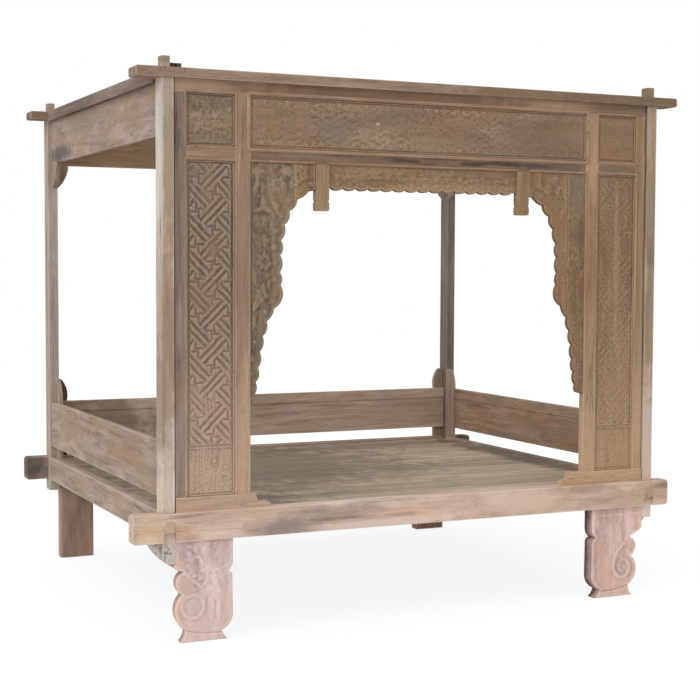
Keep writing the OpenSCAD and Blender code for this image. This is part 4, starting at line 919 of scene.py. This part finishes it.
    ragged = middle(b.noise(place, 13.0, 3.0, 0.6), 1.8)
    for at, size, paint, share, *spots in marks:
        way = b.vector("SUBTRACT", place, tuple(v * MM for v in at))
        far = b.wire("VectorMath", [b.vector("DIVIDE", way, tuple(v * MM for v in size))], 1, operation="LENGTH")
        far = b.plus(b.plus(far, middle(streak, 0.9)), ragged)
        here = b.mul(b.span(far, 1.25, 0.45), share)
        if spots:
            here = b.mul(here, b.span(b.noise(place, spots[0], 1.0), 0.54, 0.60))
        colour = b.blend(here, colour, srgb(*paint))

    rise = b.plus(b.mul(streak, 0.9), b.mul(fine, 0.45))
    rise = b.less(b.less(rise, b.mul(check, 1.6)), b.mul(pits, 0.25))
    rise = b.plus(rise, b.mul(broad, 2.0))
    bump = b.wire("Bump", {"Strength": 0.8, "Distance": 0.0011, "Height": rise})
    b.add("OutputMaterial", [b.wire("BsdfPrincipled", {
        "Base Color": colour, "Normal": bump, "Roughness": b.span(streak, 0.3, 0.7, 0.78, 0.90),
        "Specular IOR Level": 0.28})])
    return material


# Tone, dark streaks, pale wear, grey weathering
FINISHES = {
    "post": ((190, 170, 152), (134, 112, 94), (220, 206, 192), (160, 148, 136)),
    "back post": ((178, 160, 145), (128, 110, 96), (206, 192, 180), (148, 136, 126)),
    "back post right": ((126, 110, 96), (88, 74, 64), (156, 140, 126), (112, 104, 96)),
    "front rail": ((210, 182, 163), (166, 138, 120), (234, 214, 200), (176, 162, 150)),
    "side rail": ((172, 151, 135), (110, 93, 80), (208, 191, 176), (140, 130, 120)),
    "leg": ((226, 198, 190), (200, 166, 153), (238, 219, 211), (200, 184, 176)),
    "leg right": ((219, 186, 172), (182, 146, 132), (234, 210, 200), (190, 172, 162)),
    "dark leg": ((168, 138, 120), (116, 90, 76), (200, 174, 156), (140, 124, 112)),
    "deck": ((186, 168, 146), (124, 108, 90), (214, 198, 177), (160, 151, 136)),
    "guard": ((164, 142, 125), (112, 92, 79), (196, 176, 160), (136, 124, 114)),
    "guard back": ((188, 165, 147), (140, 118, 102), (212, 194, 178), (160, 146, 134)),
    "facade": ((164, 134, 110), (112, 85, 67), (198, 168, 144), (140, 123, 107)),
    "warm": ((176, 144, 121), (124, 94, 76), (206, 178, 154), (150, 132, 117)),
    "facade right": ((163, 131, 103), (112, 84, 62), (197, 166, 133), (138, 120, 100)),
    "apron": ((165, 143, 128), (112, 92, 79), (192, 171, 155), (134, 121, 111)),
    "stile grey": ((142, 124, 109), (92, 76, 66), (178, 160, 143), (124, 114, 106)),
    "rail dark": ((130, 106, 86), (82, 67, 56), (156, 132, 110), (118, 104, 91)),
    "top": ((154, 129, 109), (98, 79, 65), (188, 165, 145), (132, 121, 107)),
    "olive": ((140, 119, 98), (98, 80, 64), (166, 146, 122), (124, 113, 99)),
    "umber": ((146, 117, 89), (102, 79, 58), (178, 149, 118), (128, 112, 94)),
    "frieze": ((147, 121, 98), (102, 81, 64), (179, 153, 128), (128, 113, 100)),
    "post right": ((162, 139, 115), (114, 93, 76), (192, 170, 146), (142, 131, 113)),
    "top dark": ((116, 97, 85), (76, 62, 54), (160, 141, 126), (104, 97, 91)),
    "guard right": ((160, 132, 110), (110, 84, 66), (192, 164, 140), (134, 120, 106)),
    # darkest: painted shade on the left back cheek; the nailed block takes it as well.
    "soot": ((92, 81, 72), (60, 52, 47), (120, 107, 96), (84, 80, 76)),
    "ear": ((212, 202, 194), (176, 164, 156), (226, 218, 212), (190, 184, 180)),
    "carved low": ((148, 126, 107), (104, 86, 71), (176, 153, 134), (130, 119, 106)),
}


def finish(target, node, kind, grain, seed, **more):
    """Gives an object its wood, with the box of a node as the measure for its arrises."""
    target.data.materials.clear()
    target.data.materials.append(wood("wood_" + target.name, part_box(node), grain, FINISHES[kind], seed, **more))


WELD = 0.00002          # metres
SHARP = 38              # degrees, from which an edge is rounded


def soft_edges(target, width):
    """Welds the loose triangles and rounds the arrises."""
    weld = target.modifiers.new("weld", "WELD")
    weld.merge_threshold = WELD
    round_off = target.modifiers.new("arris", "BEVEL")
    round_off.width = width
    round_off.segments = 2
    round_off.limit_method = "ANGLE"
    round_off.angle_limit = math.radians(SHARP)
    round_off.use_clamp_overlap = True


def on_face(y, half_y, *rows):
    """Marks with the same middle and half size in Y, from rows of X, Z, half sizes in X and Z,
    colour, share, and the scale of their spots, if they have any."""
    return [((x, y, z), (half_x, half_y, half_z), *look) for x, z, half_x, half_z, *look in rows]


# Marks: middle and half sizes in millimetres, colour, share, and the scale of spots. Most are stains and wear; the
# deck's, one on the left front post and one on the right leg are painted shade and light.
BLACK = (24, 22, 22)
APRON_MARKS = (
    ((-1080, 690, 1927), (30, 215, 42), (92, 88, 84), 0.85),
    ((-1080, 200, 2040), (30, 260, 70), (146, 128, 118), 0.5),
)
UPPER_MARKS = on_face(-910, 40,
    (-980, 2074, 150, 60, (184, 154, 130), 0.45), (-150, 2074, 620, 60, (106, 80, 62), 0.6),
    (930, 2074, 170, 60, (112, 92, 75), 0.7))
TOP_MARKS = (
    *on_face(-920, 80,
        (420, 2116, 400, 60, (128, 104, 78), 0.75), (920, 2116, 400, 60, (116, 97, 74), 0.8)),
    ((-1059, -934, 2120), (90, 14, 40), (156, 129, 113), 0.95),
    ((-1170, 900, 2116), (90, 80, 60), (112, 98, 88), 0.8),
)
RAIL_MARKS = (
    ((-1150, -920, 440), (70, 60, 80), (222, 192, 160), 0.5),
    *on_face(-938, 20,
        (-1050, 436, 60, 16, (188, 148, 104), 0.5), (-988, 398, 40, 12, (160, 132, 108), 0.4)),
    *on_face(-938, 30,
        (-1160, 400, 70, 26, (234, 212, 188), 0.5), (-870, 400, 120, 30, (228, 204, 186), 0.5),
        (-630, 412, 150, 46, (146, 133, 126), 0.8), (-440, 456, 150, 32, (160, 142, 131), 0.6),
        (-170, 398, 350, 26, (230, 206, 192), 0.85), (-390, 432, 120, 8, (132, 116, 106), 0.6),
        (-110, 430, 90, 8, (166, 142, 128), 0.6), (420, 440, 260, 50, (228, 200, 184), 0.6),
        (760, 480, 160, 22, (150, 128, 110), 0.5), (1140, 470, 60, 18, (122, 96, 78), 0.6)),
)
MID_MARKS = on_face(-912, 30,
    (905, 1826, 150, 18, (112, 96, 82), 0.75), (-905, 1812, 110, 10, (134, 110, 90), 0.5))
BACK_MARKS = (((-880, 874, 650), (330, 40, 140), (98, 82, 68), 0.6),)
POST_MARKS = (
    *on_face(-922, 12,
        # The first mark here darkens the left front post's front face: painted shade, so that its side reads
        # lighter than its front.
        (-1077, 1110, 60, 420, (150, 122, 98), 0.65), (-1077, 1790, 60, 320, (154, 136, 115), 0.5)),
    ((-1102, -883, 1790), (12, 90, 340), (228, 219, 212), 0.5),
    *on_face(-883, 60,
        (-1077, 345, 60, 46, (204, 197, 189), 0.85), (-1077, 340, 60, 50, (112, 110, 110), 0.85, 95.0)),
    ((1077, -883, 350), (90, 90, 70), (232, 212, 202), 0.95),
    *on_face(-922, 12,
        (1080, 1480, 26, 90, (134, 110, 102), 0.6), (1064, 1960, 12, 170, (178, 162, 144), 0.6),
        (1084, 1640, 20, 120, (140, 136, 106), 0.5), (1070, 1250, 20, 110, (142, 122, 110), 0.5)),
    ((-1100, -883, 900), (12, 90, 260), (148, 124, 112), 0.65),
    ((1078, -905, 640), (60, 60, 330), (214, 193, 178), 0.7),
    ((-1100, -883, 1360), (12, 60, 100), (180, 166, 158), 0.5),
    ((0, -883, 2165), (1300, 90, 44), (136, 122, 102), 0.85),
)
TENON_MARKS = (
    *on_face(-925, 26,
        (-1077, 440, 60, 60, (208, 178, 152), 0.95), (1077, 440, 60, 60, (198, 168, 142), 0.95)),
    ((1077, 0, 496), (70, 900, 16), (116, 96, 82), 0.8),
)
HORN_MARKS = (
    ((-1170, 910, 430), (80, 60, 80), (84, 77, 76), 0.85),
    ((1190, 905, 440), (90, 60, 80), (52, 45, 40), 0.9),
)
# Painted shade and light on the deck: darker at the left and back under the guards, a painted shadow along the
# right guard, a little paler to the front right.
DECK_LIGHT_AND_SHADE = (
    ((-330, 240, 485), (860, 900, 60), (114, 101, 88), 0.72),
    ((-760, -700, 485), (330, 260, 60), (108, 96, 86), 0.6),
    ((300, -560, 485), (640, 260, 60), (204, 188, 162), 0.2),
    ((500, 760, 485), (760, 200, 60), (116, 104, 90), 0.5),
    ((1010, 40, 485), (90, 840, 60), (90, 79, 69), 0.75),
)
CRACK_MARKS = on_face(-912, 30,
    (-90, 1826, 90, 8, (66, 57, 52), 0.75), (30, 1838, 70, 7, (92, 80, 72), 0.7),
    (200, 1822, 60, 8, (64, 55, 50), 0.75), (330, 1830, 110, 9, (62, 52, 46), 0.75),
    (500, 1826, 130, 12, (70, 60, 55), 0.8), (650, 1828, 120, 22, (106, 93, 80), 0.6),
    (-550, 1838, 90, 22, (136, 122, 104), 0.7), (-330, 1822, 100, 14, (126, 104, 86), 0.6))
NAIL_MARKS = on_face(-900, 20, (-1055, 2143, 5, 5, BLACK, 1.0), (-1040, 2143, 6, 6, BLACK, 1.0))
PANEL_MARKS = on_face(-904, 60,
    (-985, 1745, 80, 110, (124, 118, 108), 0.25), (-896, 1471, 44, 60, (150, 116, 90), 0.4),
    (-905, 1700, 40, 60, (152, 124, 94), 0.4), (-930, 1290, 70, 70, (150, 122, 96), 0.35))
STREAK_MARKS = on_face(-904, 60,
    (860, 1500, 40, 120, (122, 94, 70), 0.35), (912, 1350, 12, 420, (178, 152, 126), 0.3))
FRIEZE_MARKS = on_face(-904, 60,
    (-640, 1950, 110, 120, (156, 128, 98), 0.4), (-400, 1935, 95, 55, (134, 124, 112), 0.5),
    (-530, 1940, 60, 90, (158, 124, 106), 0.45), (-120, 2010, 170, 36, (124, 108, 94), 0.5),
    (60, 1930, 220, 90, (146, 118, 92), 0.4), (600, 1950, 230, 130, (120, 98, 78), 0.35),
    (-217, 1966, 8, 6, (200, 182, 160), 0.7))
ARCH_MARKS = on_face(-907, 60,
    (-735, 1500, 50, 190, (122, 108, 94), 0.4), (-640, 1650, 60, 60, (158, 134, 102), 0.25),
    (-600, 1400, 60, 160, (150, 130, 98), 0.3))
DARK_MARKS = on_face(-907, 60,
    (715, 1730, 60, 80, (128, 116, 104), 0.6), (735, 1560, 60, 60, (84, 72, 62), 0.4),
    (715, 1300, 40, 120, (122, 88, 68), 0.5))
LEG_MARKS = {
    -1: (
        *on_face(-922, 30,
            (-983, 133, 30, 30, (212, 180, 154), 0.4), (-1012, 221, 36, 36, (204, 182, 154), 0.5)),
        ((-966, -920, 286), (18, 30, 34), (184, 150, 136), 0.35),
        ((-930, -922, 70), (130, 12, 120), (228, 202, 196), 0.5),
        ((-950, -864, 190), (500, 34, 500), (134, 120, 112), 0.7),
        ((-890, -922, 330), (60, 12, 50), (206, 180, 178), 0.5),
    ),
    1: (
        *on_face(-922, 12, (998, 221, 24, 24, (198, 156, 132), 0.4), (958, 126, 24, 30, (214, 184, 170), 0.4)),
        # Painted shade on the right leg's inboard side, under the platform.
        ((880, -864, 190), (500, 34, 500), (92, 78, 70), 0.9),
    ),
}

# Timbers that keep their solids: node, finish, grain, rounding in metres, and what differs from
# the defaults of wood
TIMBERS = []
for side, word in WORDS.items():
    left = side < 0
    facade = "facade" if left else "facade right"
    TIMBERS += [
        ("post_front_" + word, "post" if left else "post right", "z", 0.0026,
         {"low_pale": 0.5, "streaks": 1.25, "mottle": 0.75, "marks": POST_MARKS}),
        ("post_back_" + word, "back post" if left else "back post right", "z", 0.0026),
        (word + "_rail", "side rail", "y", 0.0022, {"mottle": 0.6, "marks": TENON_MARKS}),
        ("back_leg_" + word, "dark leg", "z", 0.0022, {"mottle": 0.8}),
        ("guard_" + word, "guard" if left else "guard right", "y", 0.0016, {"mottle": 0.8}),
        ("cheek_side_" + word, "guard", "z", 0.0012),
        # The left back cheek's darkest finish is painted shade.
        ("cheek_back_" + word, "soot" if left else "guard", "z", 0.0012),
        ("top_" + word, "top dark" if left else "top", "y", 0.0030, {"marks": TOP_MARKS}),
        ("apron_" + word, "apron", "y", 0.0016, {"weather": 0.2, "streaks": 0.7, "mottle": 0.9, "lines": 0.6,
                                                 "marks": APRON_MARKS}),
        ("bracket_side_" + word, "guard", "z", 0.0010),
        ("bracket_back_" + word, "guard", "z", 0.0010),
        ("mid_rail_" + word, facade, "x", 0.0010, {"marks": MID_MARKS}),
        ("plinth_" + word, "warm" if left else facade, "x", 0.0016, {"low_pale": 0.5}),
        ("inner_stile_" + word, facade, "z", 0.0010, {"low_pale": 0.6, "streaks": 0.8, "mottle": 0.2}),
        ("pendant_" + word, "umber", "z", 0.0016),
    ]
TIMBERS += [
    ("outer_stile_left", "stile grey", "z", 0.0010, {"low_pale": 0.35, "streaks": 1.5, "mottle": 0.6}),
    ("outer_stile_right", "facade right", "z", 0.0010, {"low_pale": 0.4, "mottle": 0.2}),
    ("front_rail", "front rail", "x", 0.0026, {"streaks": 1.1, "mottle": 0.7, "marks": RAIL_MARKS}),
    ("back_rail", "guard", "x", 0.0026, {"marks": HORN_MARKS}),
    ("deck_boards", "deck", "x", 0.0014, {"boards": (-0.8817, 0.1767), "streaks": 1.3, "marks": DECK_LIGHT_AND_SHADE}),
    ("bearers", "guard", "y", 0.0012),
    ("ledgers", "guard", "y", 0.0012),
    ("guard_back", "guard back", "x", 0.0016, {"marks": BACK_MARKS}),
    ("top_front", "top", "x", 0.0018, {"mottle": 0.7, "marks": TOP_MARKS}),
    ("top_back", "top", "x", 0.0018, {"marks": TOP_MARKS}),
    ("apron_back", "umber", "x", 0.0016),
    ("nailed_block", "soot", "x", 0.0010, {"marks": NAIL_MARKS}),
    ("upper_rail", "facade", "x", 0.0010, {"marks": UPPER_MARKS}),
    ("mid_rail_centre", "rail dark", "x", 0.0010, {"streaks": 1.3, "checks": 1.0, "marks": CRACK_MARKS}),
    ("pegs", "dark leg", "x", 0.0),
]
for k, (node, kind, grain, width, *more) in enumerate(TIMBERS):
    finish(nodes[node], node, kind, grain, 1.0 + 0.77 * k, **dict(*more))
    if width:
        soft_edges(nodes[node], width)


# Carved pieces that stand for their solids

def place_piece(piece, node, slot, kind, grain, seed, **more):
    """Puts a new piece on the bed's body and gives it its wood; the slot is not used."""
    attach(piece, "root")
    finish(piece, node, kind, grain, seed, arris=0.0, **more)


made = [
    (tall_panel(-1), "tall_panel_left", "carved low", "z", (0.42, 0.45, 0.3),
     {"low_pale": 0.9, "mottle": 0.5, "low_tone": (214, 182, 160), "marks": PANEL_MARKS}),
    (tall_panel(1), "tall_panel_right", "umber", "z", (0.32, 0.34, 0.4),
     {"low_pale": 0.6, "streaks": 0.5, "mottle": 0.5, "lines": 0.5, "marks": STREAK_MARKS}),
    (square_panel(-1), "square_panel_left", "olive", "x", (0.30, 0.30, 0.35), {"streaks": 0.5, "mottle": 0.6}),
    (square_panel(1), "square_panel_right", "umber", "x", (0.3, 0.25, 0.15), {"streaks": 0.2, "lines": 0.3}),
    (frieze(), "frieze_panel", "frieze", "x", (0.34, 0.38, 0.35),
     {"weather": 0.5, "streaks": 0.2, "mottle": 0.7, "lines": 0.4, "marks": FRIEZE_MARKS}),
    (valance(), "valance", "umber", "x", (0.34, 0.34, 0.25), {"streaks": 0.3, "mottle": 0.6}),
    (spandrel_board(-1, "outer"), "spandrel_outer_left", "olive", "z", (0.40, 0.36, 0.35),
     {"streaks": 0.2, "mottle": 0.8, "lines": 0.2, "marks": ARCH_MARKS}),
    (spandrel_board(-1, "inner"), "spandrel_inner_left", "umber", "z", (0.38, 0.36, 0.25),
     {"streaks": 0.2, "mottle": 0.6, "lines": 0.3}),
    (spandrel_board(1, "outer"), "spandrel_outer_right", "umber", "z", (0.35, 0.3, 0.25),
     {"streaks": 0.5, "mottle": 0.8, "lines": 0.5, "marks": DARK_MARKS}),
    (spandrel_board(1, "inner"), "spandrel_inner_right", "umber", "z", (0.3, 0.35, 0.15),
     {"streaks": 0.5, "mottle": 0.6}),
]
for k, (piece, node, kind, grain, shading, more) in enumerate(made):
    place_piece(piece, node, "carved_panels", kind, grain, 41.0 + 1.3 * k, carved=shading, **more)
    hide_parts(node)

for side, reach, kind in ((-1, EAR - LEG_INSET[-1], "leg"), (1, 0.0, "leg right")):
    node = "front_leg_" + WORDS[side]
    plank, ear = front_leg(side), leg_ear(side, reach)
    look = {"streaks": 0.2, "mottle": 0.7, "checks": 0.2, "lines": 0.3}
    place_piece(plank, node, "front_legs", kind, "z", 60.0 + side, carved=(0.34, 0.3, 0.12), weather=0.2,
                marks=LEG_MARKS[side], **look)
    place_piece(ear, node, "front_legs", "ear", "z", 60.0 + side, carved=(0.34, 0.3, 0.9), weather=0.5, **look)
    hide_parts(node)
    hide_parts(node)


def frame_of(x_range, z_range, out):
    """Corners of a rectangle that lies out beyond the borders of a panel."""
    x0, x1 = min(x_range) - out, max(x_range) + out
    z0, z1 = z_range[0] - out, z_range[1] + out
    return [(x0, z0), (x1, z0), (x1, z1), (x0, z1)]


# Beads of the front frame: name, path, width, height, seat, seed, closed, node
BEADS = []
for side, word in WORDS.items():
    column_x = [mirrored(u, side) for u in COLUMN_U]
    for where, z_range, seed in (("square_", FRIEZE_Z, 3), ("column_", COLUMN_Z, 5)):
        BEADS.append((where + word, frame_of(column_x, z_range, 5), 8.0, 2.6, FRAME_FACE, seed, True,
                      "inner_stile_" + word))
BEADS.append(("frieze", frame_of((ARCH_U - HALF_W, HALF_W - ARCH_U), FRIEZE_Z, 8), 14.0, 4.5, FRAME_FACE, 7, True,
              "upper_rail"))
TOP = COLUMN_Z[1] + 4.5
for k, (side, word) in enumerate(WORDS.items()):
    stile_x = side * (HALF_W - ARCH_U + 4.5)
    pendant_x = side * (HALF_W - PENDANT_U[side] + 0.5)
    neck_x = pendant_x + side * 4
    BEADS += [("arch_" + word, [(stile_x, COLUMN_Z[0] + 8), (stile_x, TOP), (pendant_x, TOP)], 8.0, 2.8, FRAME_FACE,
               9 + k, False, "inner_stile_" + word),
              ("pendant_" + word, [(neck_x, COLUMN_Z[1] - 1), (neck_x, COLUMN_Z[1] - CUSPS[0][1] * SPANDREL_H + 1)],
               8.0, 7.0, ARCH_FACE, 11 + k, False, "inner_stile_" + word)]
BEADS.append(("valance", [(x, TOP) for x in ARCH_X], 8.0, 2.8, FRAME_FACE, 13, False, "mid_rail_centre"))
for k, (name, *shape, node) in enumerate(BEADS):
    grain = "x" if name in ("frieze", "valance") else "z"
    place_piece(bead("bead_" + name, *shape), node, "front_frame", "facade", grain, 80.0 + k, low_pale=0.6,
                weather=0.15, streaks=0.4)


# Floor, light and camera

SKY, SUN, GLOW = 0.72, 1.15, 0.86
SUN_WIDTH = 50          # degrees
SUN_FROM = (-0.80, -0.52, 0.62)
GROUND = 14.0           # half the ground's size in metres
GROUND_LIT, GROUND_FAINT = 0.80, 0.20
WHITE = (1.0, 1.0, 1.0, 1.0)
CAMERA_TURNS = (-24.91, 3.22, 0.235)
CAMERA_AT = (-2.7464, -6.1036, 1.4073)
CAMERA_LENS = 75.58


def looking(right, up, back, place=(0.0, 0.0, 0.0)):
    """Matrix of a lamp or camera from its own three axes and its place."""
    return Matrix(np.column_stack([right, up, back, place]).tolist() + [[0, 0, 0, 1]])


def surroundings():
    """Plain white ground that keeps the bed's shadow, a white sky, and a wide soft sun."""
    mesh = bpy.data.meshes.new("ground")
    corners = [(x * GROUND, y * GROUND, 0) for x, y in ((-1, -1), (1, -1), (1, 1), (-1, 1))]
    mesh.from_pydata(corners, [], [(0, 1, 2, 3)])
    ground = bpy.data.objects.new("ground", mesh)
    bpy.context.scene.collection.objects.link(ground)
    material = bpy.data.materials.new("white_ground")
    b = Bench(material)
    lit, faint = (b.wire("BsdfDiffuse", {"Color": (grey, grey, grey, 1.0)}) for grey in (GROUND_LIT, GROUND_FAINT))
    glow = b.wire("Emission", {"Color": WHITE, "Strength": GLOW})
    b.add("OutputMaterial", [b.wire("MixShader", [b.seen(), lit, b.wire("AddShader", [faint, glow])])])
    mesh.materials.append(material)

    world = bpy.data.worlds.new("soft_sky")
    b = Bench(world)
    sky, white = (b.wire("Background", {"Color": WHITE, "Strength": strength}) for strength in (SKY, 1.0))
    b.add("OutputWorld", [b.wire("MixShader", [b.seen(), sky, white])])
    bpy.context.scene.world = world

    sun = bpy.data.lights.new("window_light", "SUN")
    sun.energy = SUN
    sun.angle = math.radians(SUN_WIDTH)
    lamp = bpy.data.objects.new("window_light", sun)
    way = np.array(SUN_FROM) / np.linalg.norm(SUN_FROM)
    across = np.cross((0, 0, 1), way)
    across = across / np.linalg.norm(across)
    lamp.matrix_world = looking(across, np.cross(way, across), way)
    bpy.context.scene.collection.objects.link(lamp)


def set_camera():
    """Camera fitted to the photograph: azimuth, elevation, roll, place and focal length."""
    azimuth, elevation, roll = (math.radians(v) for v in CAMERA_TURNS)
    back = np.array([math.sin(azimuth) * math.cos(elevation), -math.cos(azimuth) * math.cos(elevation),
                     math.sin(elevation)])
    right = np.array([math.cos(azimuth), math.sin(azimuth), 0.0])
    up = np.cross(back, right)
    data = bpy.data.cameras.new("view")
    data.sensor_width = 36.0
    data.lens = CAMERA_LENS
    data.clip_end = 100.0
    camera = bpy.data.objects.new("view", data)
    camera.matrix_world = looking(math.cos(roll) * right + math.sin(roll) * up,
                                  -math.sin(roll) * right + math.cos(roll) * up, back, CAMERA_AT)
    bpy.context.scene.collection.objects.link(camera)
    bpy.context.scene.camera = camera


surroundings()
set_camera()
bpy.context.scene.view_settings.view_transform = "Standard"
